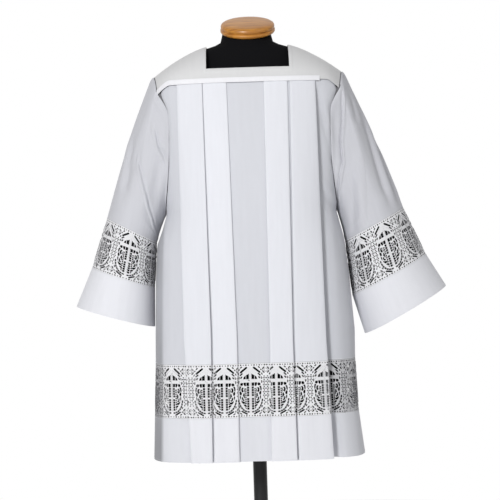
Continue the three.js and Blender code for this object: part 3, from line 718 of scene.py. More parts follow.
# The gaps of one half of a repeat, as outlines of (across, up) from the repeat's middle.
def gap_outlines():
    gaps = []

    def dot(x, y, radius, sides=6, tall=1, turned=0):
        angles = [turned + 2 * math.pi * k / sides for k in range(sides)]
        gaps.append([(x + radius * math.cos(a), y + tall * radius * math.sin(a)) for a in angles])

    def slit(x1, y1, x2, y2, wide):
        size = math.hypot(x2 - x1, y2 - y1)
        dx, dy = (x2 - x1) / size, (y2 - y1) / size
        nx, ny = -dy * wide / 2, dx * wide / 2
        near = min(0.5 * wide, size / 2.5)
        ax, ay = x1 + dx * near, y1 + dy * near
        bx, by = x1 + dx * (size - near), y1 + dy * (size - near)
        gaps.append([(x1, y1), (ax + nx, ay + ny), (bx + nx, by + ny),
                     (x2, y2), (bx - nx, by - ny), (ax - nx, ay - ny)])

    def crescent(x, y, radius, wide, start, end):
        outline = []
        for side, order in ((0.5, range(6)), (-0.5, range(5, -1, -1))):
            for k in order:
                a = math.radians(start + (end - start) * k / 5)
                r = radius + side * wide * math.sin(math.pi * (0.15 + 0.7 * k / 5))
                outline.append((x + r * math.cos(a), y + r * math.sin(a)))
        gaps.append(outline)

    # Lancets beside the cross's stem, each crossed by fine bars
    for low, high, panes in ((-43, -16.5, 5), (-13.5, 8.6, 4)):
        for k in range(panes):
            a = low + (high - low) * k / panes + 0.4
            b = low + (high - low) * (k + 1) / panes - 0.4
            gaps.append([(2.9, a), (7.6, a), (7.6, b), (2.9, b)])
    # A row of eyes down the outer side of each lancet
    for k in range(8):
        dot(10.3, -28.6 + 4.5 * k, 1.8, 6, 1.2, math.pi / 6)
    gaps += [
        # Four panes at the cross's arms
        [(2.9, 24.6), (9, 24.6), (9, 33.6), (6.4, 34.4), (2.9, 37)],
        [(10, 24.6), (15.6, 24.6), (14, 29.4), (10, 33)],
        [(2.9, 9.6), (8.6, 9.6), (8.6, 17.2), (2.9, 17.2)],
        [(9.6, 10), (12.4, 8.8), (15, 13), (14.8, 17.2), (9.6, 17.2)],
        [(16, 16.4), (16.2, 11.6), (18.6, 10), (22.6, 11.2), (22, 15.6), (19.6, 16.8)],
        # The scroll: its two eyes, and the ground at its outer and inner sides
        [(14.8, -2.6), (17.4, -4.8), (20, -1.8), (20.2, 3), (18, 6.6), (14.4, 5.6), (16.6, 2)],
        [(16.2, -15.4), (19.4, -13.2), (19.8, -17.6), (18.2, -22), (14.6, -23.6), (12.6, -20.6),
         (15.8, -19.6)],
        [(12.6, -6.6), (13.6, -3.8), (14.6, 0), (13.4, 4.4), (12.6, 6.6)],
        [(12.7, -8.2), (12.5, -16.6), (14, -18.2), (15, -14.2), (17.6, -11.6), (15.8, -7), (14, -5.4)],
        [(18.6, -5.8), (20.4, -11), (23.4, -9.6), (24.4, -3.4), (21.8, -1.4)],
        [(22, 0.4), (24.4, -1.8), (25, 4), (23.6, 9.6), (19.6, 8.8), (21.6, 5)],
        [(20.8, -12.8), (23.2, -11), (23.4, -15.4), (21.4, -21), (20.6, -17)],
        # Leaves inside the frame's foot
        [(12, -25), (13.8, -25.2), (18.6, -23.4), (20.4, -21), (20.2, -25), (17, -29.4), (12, -29.4)],
        [(8.8, -33.2), (11.6, -31), (16, -31), (14, -34.6), (8.8, -37.4)],
        [(8.8, -38.6), (13, -36.2), (11, -40), (8.8, -41.6)],
    ]
    # Between the frame's two lines, from its side down to its foot
    for k in range(7):
        near = [frame_line(0.06 + 0.132 * k + 0.006, side) for side in (0.9, 3.9)]
        far = [frame_line(0.06 + 0.132 * (k + 0.89), side) for side in (0.9, 3.9)]
        gaps.append([near[0], far[0], far[1], near[1]])
    # Slanting slits above and below the frame, with short ones beyond them
    for ends_and_width in (
        (6.2, 51.6, 22.8, 38.2, 4.2), (6.6, -53, 21.2, -45, 3.4), (17.4, 52.6, 22, 48.6, 2.6),
        (22.6, 47.2, 25.4, 43.4, 2.6), (16.6, 38, 23.2, 32, 3), (17.6, 31.6, 21.8, 25.6, 3.2),
        (24.7, 38.6, 27.3, 33.4, 2.4), (24.2, 30.6, 25, 24, 2.2), (24.8, 22, 25.6, 15, 2.2),
        (18.8, -52.8, 24, -49.4, 2.4), (23.4, -47.6, 25.4, -43, 2.2), (24, -38.6, 26.8, -33.6, 2.2),
    ):
        slit(*ends_and_width)
    # Eyes along both edges, wide and narrow by turns
    for k in range(6):
        for y in (55.6, -56):
            dot(3.4 + 5.7 * k, y, 1.8 if k % 2 else 1.3)
    # Netting between the repeats
    for row in range(17):
        y = -31 + 3.85 * row
        x = half_repeat - 1.9 if row % 2 else half_repeat - 3.8
        while x > 27.4:
            if x > 29.5 or y > -14:
                dot(x, y, 1.72, 4, 1.1)
            x -= 3.8
    # Rosettes where two repeats meet, each in a ring of crescents
    for y in (44.6, -44.6):
        crescent(half_repeat, y, 6.9, 2.9, 112, 174)
        crescent(half_repeat, y, 6.9, 2.9, 186, 248)
        for angle in (112.5, 157.5, 202.5, 247.5):
            a = math.radians(angle)
            dot(half_repeat + 3.7 * math.cos(a), y + 3.7 * math.sin(a), 1, 5, 1, math.pi)
    return gaps


# A point on the frame round the cross's foot: t runs from its side down to its lowest point.
def frame_line(t, out):
    angle = math.pi / 2 * t
    x = 23.6 * math.cos(angle) ** 0.9 + 0.6
    y = -16 - 29.5 * math.sin(angle)
    return x + out * math.cos(angle) ** 0.5, y - out * math.sin(angle)


# The raised work on one half of a repeat, as outlines: the cross, the scroll's bands and the frame's cords.
def raised_outlines():
    def band(points, wide):
        left, right = [], []
        for k, (x, y) in enumerate(points):
            (x1, y1), (x2, y2) = points[max(0, k - 1)], points[min(len(points) - 1, k + 1)]
            size = math.hypot(x2 - x1, y2 - y1)
            nx, ny = -(y2 - y1) / size * wide / 2, (x2 - x1) / size * wide / 2
            left.append((x + nx, y + ny))
            right.append((x - nx, y - ny))
        return left + right[::-1]

    scroll = [(14.2, 7.4), (17.6, 7.6), (21, 4.4), (21.2, -1.2), (18.6, -5.2), (16.6, -9.4), (18.6, -12.6),
              (20, -17.4), (18.4, -22.6), (14.4, -24.2)]
    inner = [frame_line(k / 12, 0.1) for k in range(12)]
    point = [(2, 47.4), (8, 43), (14.8, 36.4), (19, 30)]
    cross = [(0.5, -44), (1.9, -42), (1.7, -38), (1.7, 18.6), (17.6, 19), (20.4, 18), (20, 20), (22.2, 20.9),
             (20, 21.8), (20.4, 23.8), (17.6, 22.8), (1.7, 23.2), (1.9, 38), (3.4, 42), (0.5, 41)]
    return [band(scroll, 1.1), band(inner, 0.8), band(point, 1.3), cross]


# A flat mesh of one repeat, filled from outlines: the first is the edge and the others are cut out of it,
# or each is a shape of its own.
def flat_mesh(name, outlines):
    curve = bpy.data.curves.new(name, "CURVE")
    curve.dimensions = "2D"
    curve.fill_mode = "BOTH"
    for outline in outlines:
        spline = curve.splines.new("POLY")
        spline.points.add(len(outline) - 1)
        for point, (x, y) in zip(spline.points, outline):
            point.co = (x, y, 0, 1)
        spline.use_cyclic_u = True
    sheet = new_piece(name, curve)
    sheet.select_set(True)
    bpy.ops.object.convert(target="MESH")
    mesh = sheet.data.copy()
    bpy.data.objects.remove(sheet)
    return mesh


def mirrored(outlines):
    return outlines + [[(-x, y) for x, y in outline] for outline in outlines]


repeat_edge = [(-half_repeat, -half_band), (half_repeat, -half_band),
               (half_repeat, half_band), (-half_repeat, half_band)]
lace_ground = flat_mesh("lace_ground", [repeat_edge] + mirrored(gap_outlines()))
raised_work = flat_mesh("raised_work", mirrored(raised_outlines()))


# A band of lace: repeats side by side over the stations' lengths, cut at every station, and each point
# moved to its place between the upper and lower rows. out is how far its middle lies off the band's.
def lace_piece(name, pattern, upper, lower, lengths, turned, wall, out=0):
    whole = bmesh.new()
    first = math.floor((lengths[0] - lace_phase) / lace_repeat + 0.5)
    last = math.ceil((lengths[-1] - lace_phase) / lace_repeat - 0.5)
    for repeat in range(first, last + 1):
        centre = lace_phase + repeat * lace_repeat
        flat = bmesh.new()
        flat.from_mesh(pattern)
        bmesh.ops.translate(flat, verts=flat.verts, vec=(centre, 0, 0))
        for k, at in enumerate(lengths):
            if centre - half_repeat - 0.01 < at < centre + half_repeat + 0.01:
                everything = flat.verts[:] + flat.edges[:] + flat.faces[:]
                bmesh.ops.bisect_plane(flat, geom=everything, plane_co=(at, 0, 0), plane_no=(1, 0, 0),
                                       clear_outer=k == len(lengths) - 1, clear_inner=k == 0)
        part = bpy.data.meshes.new("lace_part")
        flat.to_mesh(part)
        flat.free()
        whole.from_mesh(part)
        bpy.data.meshes.remove(part)
    bmesh.ops.remove_doubles(whole, verts=whole.verts, dist=0.01)
    if turned:
        bmesh.ops.reverse_faces(whole, faces=whole.faces)
    uv = whole.loops.layers.uv.new("cloth")
    for face in whole.faces:
        for loop in face.loops:
            loop[uv].uv = (MM * loop.vert.co.x, MM * loop.vert.co.y)
    for v in whole.verts:
        j = min(len(lengths) - 2, max(0, bisect.bisect_left(lengths, v.co.x - 1e-5) - 1))
        across = share(v.co.x, lengths[j], lengths[j + 1])
        down = 0.5 - v.co.y / (2 * half_band)
        v.co = MM * upper[j].lerp(upper[j + 1], across).lerp(lower[j].lerp(lower[j + 1], across), down)
    if out:
        whole.normal_update()
        moved = [v.co + MM * out * v.normal for v in whole.verts]
        for v, place in zip(whole.verts, moved):
            v.co = place
    mesh = bpy.data.meshes.new(name)
    whole.to_mesh(mesh)
    whole.free()
    piece = new_piece(name, mesh)
    piece.data.materials.append(white_lace)
    piece.data.materials.append(lace_painted_shade)
    # The back face and the walls of the gaps take the second finish: painted shade, dark grey in place of
    # white thread.
    thicken(piece, wall, material_offset=1, material_offset_rim=1)
    return piece


# White cotton thread, closely worked: a fine twill of raised stitches over the whole lace.
def lace_thread(name, colour):
    material, tree = new_finish(name)
    flat = add_node(tree, "UVMap", {}, uv_map="cloth").outputs["UV"]
    cloudy = add_node(tree, "TexNoise", {"Vector": flat, "Scale": 260}).outputs["Fac"]
    duller = [0.86 * value for value in colour]
    tone = add_node(tree, "Mix", {"Factor": cloudy, "A": (*duller, 1), "B": (*colour, 1)}, data_type="RGBA")
    stitches = add_node(tree, "TexWave", {"Vector": flat, "Scale": 330, "Distortion": 1.5},
                        bands_direction="DIAGONAL")
    bump = add_node(tree, "Bump", {"Height": stitches.outputs["Fac"], "Strength": 0.5, "Distance": 0.0004})
    # The base colour is darkened where the piece carries painted shade.
    set_finish(tree, {"Base Color": in_shade(tree, tone.outputs["Result"]), "Roughness": 0.9,
                      "Specular IOR Level": 0.2, "Normal": bump.outputs["Normal"]})
    return material


white_lace = lace_thread("white_lace", (0.87, 0.87, 0.89))
# Painted shade: the dark grey of the lace's back and the walls of its gaps, so that the gaps read dark.
lace_painted_shade = lace_thread("lace_painted_shade", (0.14, 0.14, 0.15))
for face in ("front", "back"):
    rows = [body_row(face, z, face_steps=8, recess_steps=8)[0] for z in (lace_top, lace_bottom)]
    middles = [a.lerp(b, 0.5) for a, b in zip(*rows)]
    lengths = lengths_of(middles)
    centre = min(range(len(middles)), key=lambda k: abs(middles[k].x - lace_middle))
    lengths = [length - lengths[centre] for length in lengths]
    turned = face == "back"
    band = lace_piece("lace_band_" + face, lace_ground, *rows, lengths, turned, lace_wall)
    raised = lace_piece("lace_raised_" + face, raised_work, *rows, lengths, turned, raised_wall, raised_out)
    for piece in (band, raised):
        paint_side_shade(piece, True)
        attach(piece, "root")
    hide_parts("lace_" + face)

# The plain hem bands below the lace, front and back: the same cloth, turned up twice and pressed, with the
# body's pleats running on down through them.
hem_cloth = woven_cloth("hem_cloth", (0.69, 0.7, 0.74), (0.79, 0.795, 0.835))
hem_wall = 1.1
hem_row_step = 8
for face in ("front", "back"):
    heights = down_to(lace_bottom - seam_gap, hem_height, hem_row_step)
    rows, whites = zip(*[body_row(face, z) for z in heights])
    hem = cloth_sheet("hem_band_" + face, rows, whites[0], wall=hem_wall)
    hem.data.materials.append(hem_cloth)
    paint_side_shade(hem)
    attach(hem, "root")
    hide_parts("hem_" + face)

# The yoke: a smooth doubled piece over the shoulders, joined along the shoulder ridge, with a square neck
# opening. The pleated panels are sewn to its lower edges, front and back.
# Painted shade: the yoke's doubled cloth is coloured darker than the pleated cloth, to dim its upward faces
# under the light from above.
yoke_cloth = woven_cloth("yoke_cloth", (0.6, 0.6, 0.605), (0.7, 0.7, 0.705))
yoke_wall = 1
ridge_at_neck = 1457
ridge_at_shoulder = 1391
neck_half = 94
shoulder_half = 217
ridge_depth = 5
ridge_curve = 1.35
yoke_steps = 24
neck_row = 5 # of the yoke's steps, where the neck opening's front and back edges lie
neck_edge_at = neck_row / yoke_steps
edge_scale = 105 # turns millimetres beside the neck opening into shares of the way up the yoke


def ridge_height(x):
    out = max(0, abs(x) - neck_half) / (shoulder_half - neck_half)
    return ridge_at_neck - (ridge_at_neck - ridge_at_shoulder) * out ** ridge_curve


def on_yoke(face, x, t):
    ring = half_ring(face, yoke_seam)
    widest = body_rings[0]["left"] - 1
    seam_y = on_ring(face, ring, length_at_x(ring, max(-widest, min(widest, x))))[1]
    angle = t * math.pi / 2
    low = yoke_seam + seam_gap - yoke_drop(x)
    y = lerp(seam_y, ridge_depth, 1 - math.cos(angle))
    return Vector((x, y, lerp(low, ridge_height(x), math.sin(angle))))


def yoke_edge(t):
    return lerp(yoke_end_half, shoulder_half, t)


def yoke_across(t):
    steps = range(yoke_steps + 1)
    across = [lerp(-yoke_edge(t), -neck_half, k / yoke_steps) for k in steps]
    across += [lerp(-neck_half, neck_half, k / yoke_steps) for k in steps[1:-1]]
    return across + [lerp(neck_half, yoke_edge(t), k / yoke_steps) for k in steps]


def over_neck(i, j):
    return i >= neck_row and yoke_steps <= j < 2 * yoke_steps


for face in ("front", "back"):
    stages = [k / yoke_steps for k in range(yoke_steps + 1)]
    rows = [[on_yoke(face, x, t) for x in yoke_across(t)] for t in stages]
    for p in rows[-1]:
        p.y += -seam_gap / 2 if face == "front" else seam_gap / 2
    yoke = cloth_sheet("yoke_cloth_" + face, rows, skip=over_neck, wall=yoke_wall)
    yoke.data.materials.append(yoke_cloth)
    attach(yoke, "root")
    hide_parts("yoke_" + face)

# The neck opening's turned edge: the yoke's own cloth, folded under round the square opening and pressed, so
# that it stands up a little. Each row of it lies at a distance from the opening and above the yoke.
turned_edge = ((8.5, 0.2), (7.6, 0.75), (4, 0.8), (0.8, 0.75), (-0.4, 0.1), (-0.5, -0.9))
turned_edge_wall = 0.5
turned_edge_top = 0.985


# The neck opening's edge at a distance from its corner, down one shoulder, across and up the other.
def around_neck(off, top):
    side = neck_half + off
    low = neck_edge_at - off / edge_scale
    path = [(-side, lerp(top, low, k / 20)) for k in range(21)]
    path += [(lerp(-side, side, k / 24), low) for k in range(1, 24)]
    return path + [(side, lerp(low, top, k / 20)) for k in range(21)]


for face in ("front", "back"):
    outwards = Vector((0, -0.5 if face == "front" else 0.5, 0.87))
    rows = []
    for off, lifted in turned_edge:
        rows.append([on_yoke(face, x, t) + lifted * outwards for x, t in around_neck(off, turned_edge_top)])
    turning = cloth_sheet("neck_edge_" + face, rows, wall=turned_edge_wall)
    turning.data.materials.append(yoke_cloth)
    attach(turning, "root")

# The bands over the yoke's seams, front and back: narrow strips of doubled cloth, folded in at both edges and
# stitched down. They hide the tops of the pleats.
band_cloth = woven_cloth("band_cloth", (0.78, 0.78, 0.81), (0.84, 0.84, 0.87))
band_wall = 1.2
band_height = 11
band_below_seam = 3
band_stand = 1.9
band_past_end = 6
band_right_end = 160 # the front's band stops here, short of the armhole


def band_point(face, at, up):
    ring = half_ring(face, yoke_seam + min(up, 0))
    x, y, nx, ny = on_ring(face, ring, at)
    rise = max(up, 0) / (ridge_height(x) - yoke_seam + yoke_drop(x))
    y = lerp(y, ridge_depth, 1 - math.sqrt(1 - rise * rise))
    return Vector((x + band_stand * nx, y + band_stand * ny, yoke_seam + up - yoke_drop(x)))


for face in ("front", "back"):
    rows = []
    for k in range(6):
        up = lerp(band_height - band_below_seam, -band_below_seam, k / 5)
        _, path = pleated_path(face, yoke_seam + min(up, 0))
        first, last = path[0][0] - band_past_end, path[-1][0] + band_past_end
        if face == "front":
            last = length_at_x(half_ring(face, yoke_seam + min(up, 0)), band_right_end)
        rows.append([band_point(face, lerp(first, last, j / 80), up) for j in range(81)])
    band = cloth_sheet("band_" + face, rows, wall=band_wall)
    band.data.materials.append(band_cloth)
    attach(band, "root")
    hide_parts("yoke_band_" + face)

# The sleeves: wide tubes of the body's cloth, set into the armholes, hanging open over lace bands and
# plain cuffs. Soft folds run down them from the shoulder and the underarm.
sleeve_cloth = woven_cloth("sleeve_cloth", (0.54, 0.545, 0.575), (0.6, 0.605, 0.645))
sleeve_seam_gap = 2.3
underarm_lift = 4.2
sleeve_rings = {
    "left": {
        "side": -1, "bulge": 8,
        "lace_top": {"outer": (333.9, 1071), "inner": (222, 1012), "half_depth": 88},
        "lace_bottom": {"outer": (371.8, 958), "inner": (230, 908), "half_depth": 93},
        "cuff": {"outer": (410.6, 869.5), "inner": (232.5, 818), "half_depth": 98},
    },
    "right": {
        "side": 1, "bulge": 5,
        "lace_top": {"outer": (348.3, 1074), "inner": (213, 1003), "half_depth": 88},
        "lace_bottom": {"outer": (396.9, 966), "inner": (226, 877.5), "half_depth": 93},
        "cuff": {"outer": (441, 892), "inner": (252.5, 787.5), "half_depth": 98},
    },
}
# Folds down each sleeve: the ring's point they run along at the top and the bottom, half width and depth.
sleeve_folds = [
    (2.4, 4.2, 1.5, 7), (7.5, 8.6, 1.4, 9), (10.2, 10.6, 1.2, 6),
    (14.2, 13.6, 1.3, 7), (17.2, 15.9, 1.5, 9), (21.4, 20.0, 1.5, 6),
]
ring_points = 24
fine_points = 240
bulge_rise = 0.7
# Creases and soft hollows of the way each sleeve hangs: points of (ring point, share of the way down), how
# deep, how wide, and how far the cloth stands up beside it.
sleeve_creases = {
    "left": [
        ([(5, 0.47), (5.4, 0.53), (6.7, 0.64), (8, 0.7), (9.6, 0.75), (11.2, 0.8)], 3.2, 3.2, 2.8),
        ([(6.3, 0.19), (6.6, 0.23), (7.1, 0.27), (7.8, 0.2), (8.5, 0.11), (8.9, 0.05)], 3.4, 3.2, 2.2),
        ([(3.9, 0.05), (6.4, 0.03), (7, 0.03)], 1.8, 3.6, 1.2),
        ([(1.6, 0.37), (2.4, 0.5), (3.4, 0.64), (4, 0.79)], 6, 12, 3),
        ([(5.6, 0.14), (5, 0.4), (4.6, 0.6)], 3, 11, 2),
    ],
    "right": [
        ([(4.6, 0.02), (6, 0.06), (6.3, 0.12), (6.5, 0.17), (7.2, 0.25), (7.9, 0.32), (9.4, 0.24),
          (10.6, 0.12), (11.5, 0.02)], 4.8, 3, 2.8),
        ([(2.8, 0.12), (2.8, 0.18), (3.6, 0.26), (4.7, 0.29)], 3, 9, 1.5),
        ([(1.2, 0.22), (2, 0.42), (2.8, 0.6), (3.4, 0.78), (3.7, 0.96)], 6, 11, 3),
        ([(0.9, 0.5), (1.6, 0.74), (2, 0.97)], 4, 10, 2.5),
        ([(6.6, 0.4), (7.6, 0.62), (8.8, 0.86), (9.4, 1)], 4, 11, 2),
    ],
}
sleeve_roll = 3.2 # how far the cloth rolls up at the armhole seam


def sleeve_crease(creases, p, outwards):
    out = 0
    for points, deep, wide, beside in creases:
        nearest = None
        for n, (a, b) in enumerate(zip(points, points[1:])):
            line, off = b - a, p - a
            along = min(1, max(0, off.dot(line) / line.length_squared))
            away = (off - along * line).length
            if away < 3 * wide and (nearest is None or away < nearest[0]):
                nearest = (away, line.cross(off).dot(outwards) > 0, (n + along) / (len(points) - 1))
        if nearest:
            away, one_side, along = nearest
            fade = min(1, 0.15 + 4 * along, 0.15 + 4 * (1 - along))
            out -= fade * deep * math.exp(-(away / wide) ** 2)
            if one_side:
                out += fade * beside * math.exp(-((away - 2 * wide) / wide) ** 2)
    return out


def armhole_loop(side):
    def body(face, z):
        row, _ = body_row(face, z)
        end, next_in = (0, 1) if side < 0 else (-1, -2)
        ring, path = pleated_path(face, z)
        _, _, nx, ny = on_ring(face, ring, path[end][0])
        outwards = row[end] - row[next_in]
        outwards.z = 0
        outwards.normalize()
        if z == underarm:
            outwards = Vector()
        lift = underarm_lift * max(0, (armhole[2]["z"] - z) / (armhole[2]["z"] - underarm))
        return row[end] + outwards * sleeve_seam_gap + Vector((nx * lift, ny * lift, 0))

    def shoulder(face, t):
        p = on_yoke(face, side * yoke_edge(t), t)
        p.x = side * (yoke_edge(t) + sleeve_seam_gap)
        return p

    stages = (1, 0.8, 0.6, 0.4, 0.25, 0.125, 0)
    heights = [row["z"] for row in armhole]
    loop = [shoulder("front", t) for t in stages]
    loop += [body("front", z) for z in heights[1:]]
    loop += [body("back", z) for z in heights[-2:0:-1]]
    loop += [shoulder("back", t) for t in stages[:0:-1]]
    return loop


# A closed loop of points made finer, by a smooth curve through them.
def finer(loop, count):
    size = len(loop)
    points = []
    for k in range(count):
        at = k * size / count
        i = int(at)
        t = at - i
        a, b, c, d = (loop[(i + n) % size] for n in (-1, 0, 1, 2))
        points.append(b + 0.5 * t * ((c - a) + t * ((2 * a - 5 * b + 4 * c - d) + t * (3 * (b - c) + d - a))))
    return points


def sleeve_ring(side, ring, count=120):
    points = []
    for k in range(count):
        angle = 2 * math.pi * k / count
        outer = (1 + math.cos(angle)) / 2
        x, z = (lerp(ring["inner"][n], ring["outer"][n], outer) for n in (0, 1))
        points.append(Vector((side * x, -ring["half_depth"] * math.sin(angle), z)))
    return points


def fold_depth(index, t):
    out = 0
    for start, end, wide, deep in sleeve_folds:
        away = (index - lerp(start, end, t)) / wide
        out += deep * math.exp(-away * away)
    return out * math.sin(math.pi * min(1, t * 1.15)) ** 0.7


sleeve_steps = 88
for name, sleeve in sleeve_rings.items():
    side = sleeve["side"]
    loop = finer(armhole_loop(side), fine_points)
    top = sleeve_ring(side, sleeve["lace_top"], fine_points)
    rows = []

    def bulged(i, t):
        q = loop[i].lerp(top[i], t)
        outer = max(0, math.cos(2 * math.pi * i / fine_points))
        q.x += side * sleeve["bulge"] * math.sin(math.pi * t ** bulge_rise) * outer
        return q

    creases = []
    for path, *measures in sleeve_creases[name]:
        points = [bulged(round(index * fine_points / ring_points), t) for index, t in path]
        creases.append((points, *measures))
    for k in range(sleeve_steps + 1):
        t = k / sleeve_steps
        row = [bulged(i, t) for i in range(fine_points)]
        middle = sum(row, Vector()) / fine_points
        rolled = sleeve_roll * (1 - math.exp(-t * 60)) * math.exp(-(t * 12) ** 2)
        for i, q in enumerate(row if 0 < t < 1 else []):
            outwards = (q - middle).normalized()
            folded = fold_depth(i * ring_points / fine_points, t)
            q += (sleeve_crease(creases, q, side * outwards) + rolled - folded) * outwards
        rows.append(row)
    tube = cloth_sheet("sleeve_cloth_" + name, rows, closed=True)
    tube.data.materials.append(sleeve_cloth)
    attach(tube, "root")
    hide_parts("sleeve_" + name)
    around = MM * max(lengths_of(row + row[:1])[-1] for row in rows)

# The armhole seams' allowances: a pressed strip inside each armhole, under the edges of both pieces. It lies
# deep in the seam, and its cloth is painted near black: painted shade, so that the seam shows as a dark line.
seam_painted_shade = woven_cloth("seam_painted_shade", (0.16, 0.16, 0.17), (0.16, 0.16, 0.17))
seam_points = 160
allowance_wall = 0.8
allowance_half = 7
shoulder_inside = Vector((130, 0, 1250)) # a point that the right armhole's upper edge faces away from
for name, sleeve in sleeve_rings.items():
    side = sleeve["side"]
    loop = finer(armhole_loop(side), seam_points)
    rows = [[], [], []]
    for k, p in enumerate(loop):
        ahead = (loop[(k + 1) % seam_points] - loop[k - 1]).normalized()
        inside = Vector((side * shoulder_inside.x, 0, min(p.z, shoulder_inside.z)))
        outwards = (p - inside).normalized()
        across = side * ahead.cross(outwards).normalized()
        for row, (apart, under) in zip(rows, ((-allowance_half, 2.6), (0, 2.2), (allowance_half, 2.6))):
            row.append(p + apart * across - under * outwards)
    allowance = cloth_sheet("armhole_seam_" + name, rows, closed=True, wall=allowance_wall)
    allowance.data.materials.append(seam_painted_shade)
    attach(allowance, "root")
    around = MM * lengths_of(loop + loop[:1])[-1]

# The sleeves' lace: the same band round each tube, joined along the sleeve's outer and inner edges. Just
# inside the band lies a thin sheet, near black outside and white inside: painted shade, a dark sheet where
# the hollow sleeve has only shade.
lace_stations = 48
shade_sheet_wall = 0.3
shade_sheet_in = -0.75
plain_repeat = flat_mesh("plain_repeat", [repeat_edge])
# Painted shade: the near-black finish of the sheet behind the sleeves' lace.
painted_shade_sheet = lace_thread("painted_shade_sheet", (0.008, 0.008, 0.009))
for name, sleeve in sleeve_rings.items():
    side = sleeve["side"]
    top = sleeve_ring(side, sleeve["lace_top"], lace_stations)
    bottom = sleeve_ring(side, sleeve["lace_bottom"], lace_stations)
    top = [a + (b - a).normalized() * seam_gap for a, b in zip(top, bottom)]
    middles = [a.lerp(b, 0.5) for a, b in zip(top, bottom)]
    around = lengths_of(middles + middles[:1])
    fit = lace_repeat * round(around[-1] / lace_repeat)
    lengths = [length * fit / around[-1] for length in around]
    half = lace_stations // 2
    for face, start in (("front", 0), ("back", half)):
        stations = [(start + k) % lace_stations for k in range(half + 1)]
        upper, lower = ([ring[k] for k in stations] for ring in (top, bottom))
        place = (upper, lower, lengths[start:start + half + 1], side > 0)
        which = name + "_" + face
        band = lace_piece("sleeve_lace_band_" + which, lace_ground, *place, lace_wall)
        raised = lace_piece("sleeve_raised_" + which, raised_work, *place, raised_wall, raised_out)
        # The dark sheet behind the lace: painted shade outside, white on the inside of the sleeve.
        shade_sheet = lace_piece("sleeve_shade_sheet_" + which, plain_repeat, *place, shade_sheet_wall, shade_sheet_in)
        shade_sheet.data.materials[0] = painted_shade_sheet
        shade_sheet.data.materials[1] = white_lace
        for piece in (band, raised, shade_sheet):
            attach(piece, "root")
        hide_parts("sleeve_lace_" + which)
        across = MM * (around[start + half] - around[start])

# The cuffs: plain bands of the hem's cloth below the sleeves' lace, turned up twice and pressed. They carry
# on each sleeve's flare to its open edge.
cuff_steps = 10
for name, sleeve in sleeve_rings.items():
    side = sleeve["side"]
    bottom = sleeve_ring(side, sleeve["lace_bottom"])
    edge = sleeve_ring(side, sleeve["cuff"])
    first = [a + (b - a).normalized() * seam_gap for a, b in zip(bottom, edge)]
    rows = [[a.lerp(b, k / cuff_steps) for a, b in zip(first, edge)] for k in range(cuff_steps + 1)]
    cuff = cloth_sheet("cuff_band_" + name, rows, closed=True, wall=hem_wall)
    cuff.data.materials.append(hem_cloth)
    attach(cuff, "root")
    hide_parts("cuff_" + name)
    around = MM * lengths_of(edge + edge[:1])[-1]

# The stitching: white cotton thread in short even stitches beside the seams, along the band's edges and the
# neck opening, above and below the lace and round the cuffs.
stitch_long = 2.6
stitch_apart = 3.6
thread_wide = 0.75
thread_high = 0.5
white_thread = lace_thread("white_thread", (0.86, 0.86, 0.88))


# Stitches along lines of (point, outward direction): each a short ridge of thread lying on the cloth.
def stitching(name, lines):
    points, faces = [], []
    for line in lines:
        lengths = lengths_of([p for p, _ in line])
        k = 0
        for n in range(int(lengths[-1] / stitch_apart)):
            start = (n + 0.2) * stitch_apart
            while lengths[k + 1] < start:
                k += 1
            (a, up), (b, _) = line[k], line[k + 1]
            along = (b - a).normalized()
            near = a + along * (start - lengths[k])
            side = along.cross(up).normalized() * thread_wide / 2
            middle = near + along * stitch_long / 2
            rise = up.normalized() * thread_high
            first = len(points)
            points += [near, near + along * stitch_long, middle + side, middle - side, middle + rise]
            corners = ((0, 2, 4), (2, 1, 4), (1, 3, 4), (3, 0, 4), (0, 3, 1, 2))
            faces += [tuple(first + corner for corner in face) for face in corners]
    mesh = bpy.data.meshes.new(name)
    mesh.from_pydata([MM * p for p in points], [], faces)
    uv = mesh.uv_layers.new(name="cloth").data
    for loop in mesh.loops:
        uv[loop.index].uv = (points[loop.vertex_index].x * MM, points[loop.vertex_index].z * MM)
    piece = new_piece(name, mesh)
    piece.data.materials.append(white_thread)
    piece.select_set(True)
    bpy.ops.object.mode_set(mode="EDIT")
    bpy.ops.mesh.select_all(action="SELECT")
    bpy.ops.mesh.normals_make_consistent(inside=False)
    bpy.ops.object.mode_set(mode="OBJECT")
    piece.select_set(False)
    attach(piece, "root")


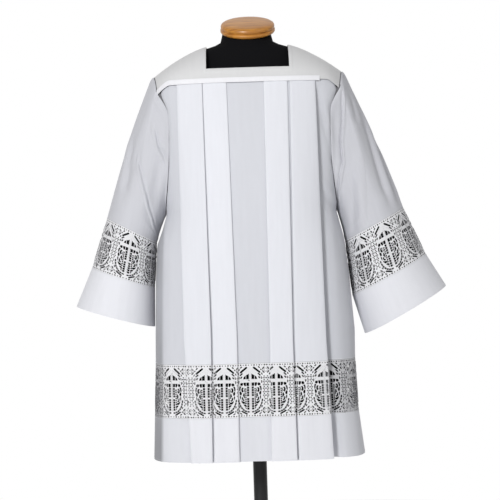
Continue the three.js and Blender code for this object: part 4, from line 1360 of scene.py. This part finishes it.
# A body row as a line for stitches, lifted off the cloth.
def stitch_row(face, z, lifted):
    ring, path = pleated_path(face, z)
    points, _ = body_row(face, z)
    line = []
    for p, (at, _, _) in zip(points, path):
        _, _, nx, ny = on_ring(face, ring, at)
        line.append((p + lifted * Vector((nx, ny, 0)), Vector((nx, ny, 0))))
    return line


# A line for stitches along the band over the yoke seam, from just past one end to the other.
def band_row(face, up):
    ring, path = pleated_path(face, yoke_seam + min(up, 0))
    line = []
    last = path[-1][0] + 1 if face == "back" else length_at_x(ring, band_right_end - 1)
    for k in range(81):
        at = lerp(path[0][0] - 1, last, k / 80)
        _, _, nx, ny = on_ring(face, ring, at)
        out = Vector((nx, ny, 0))
        line.append((band_point(face, at, up) + 0.6 * out, out))
    return line


def neck_line(face, off, lifted):
    line = []
    for x, t in around_neck(off, 1):
        p = on_yoke(face, x, t)
        down = on_yoke(face, x, max(0, t - 0.02)) - p if t > 0.02 else p - on_yoke(face, x, 0.02)
        up = Vector((1, 0, 0)).cross(down)
        up = up.normalized() if up.y * (-1 if face == "front" else 1) > 0 or up.z > 0 else -up.normalized()
        line.append((p + lifted * up, up))
    return line


band_stitches = (6.4, -1.4) # above and below the yoke seam
neck_stitches_off = 6.5
for face in ("front", "back"):
    lines = [band_row(face, up) for up in band_stitches] + [neck_line(face, neck_stitches_off, 0.5)]
    stitching("yoke_stitches_" + face, lines)
    rows = ((lace_top + 2.4, 0.5), (lace_bottom - 2.6, 0.6), (hem_height + 3.4, 0.6))
    stitching("hem_stitches_" + face, [stitch_row(face, z, lifted) for z, lifted in rows])
for name, sleeve in sleeve_rings.items():
    upper, lower = (sleeve_ring(sleeve["side"], sleeve[key]) for key in ("lace_bottom", "cuff"))
    lines = []
    for at in (0.03, 0.965):
        row = [p.lerp(q, at) for p, q in zip(upper, lower)]
        middle = sum(row, Vector()) / len(row)
        line = [(p + 0.6 * (p - middle).normalized(), (p - middle).normalized()) for p in row]
        lines.append(line + line[:1])
    stitching("cuff_stitches_" + name, lines)
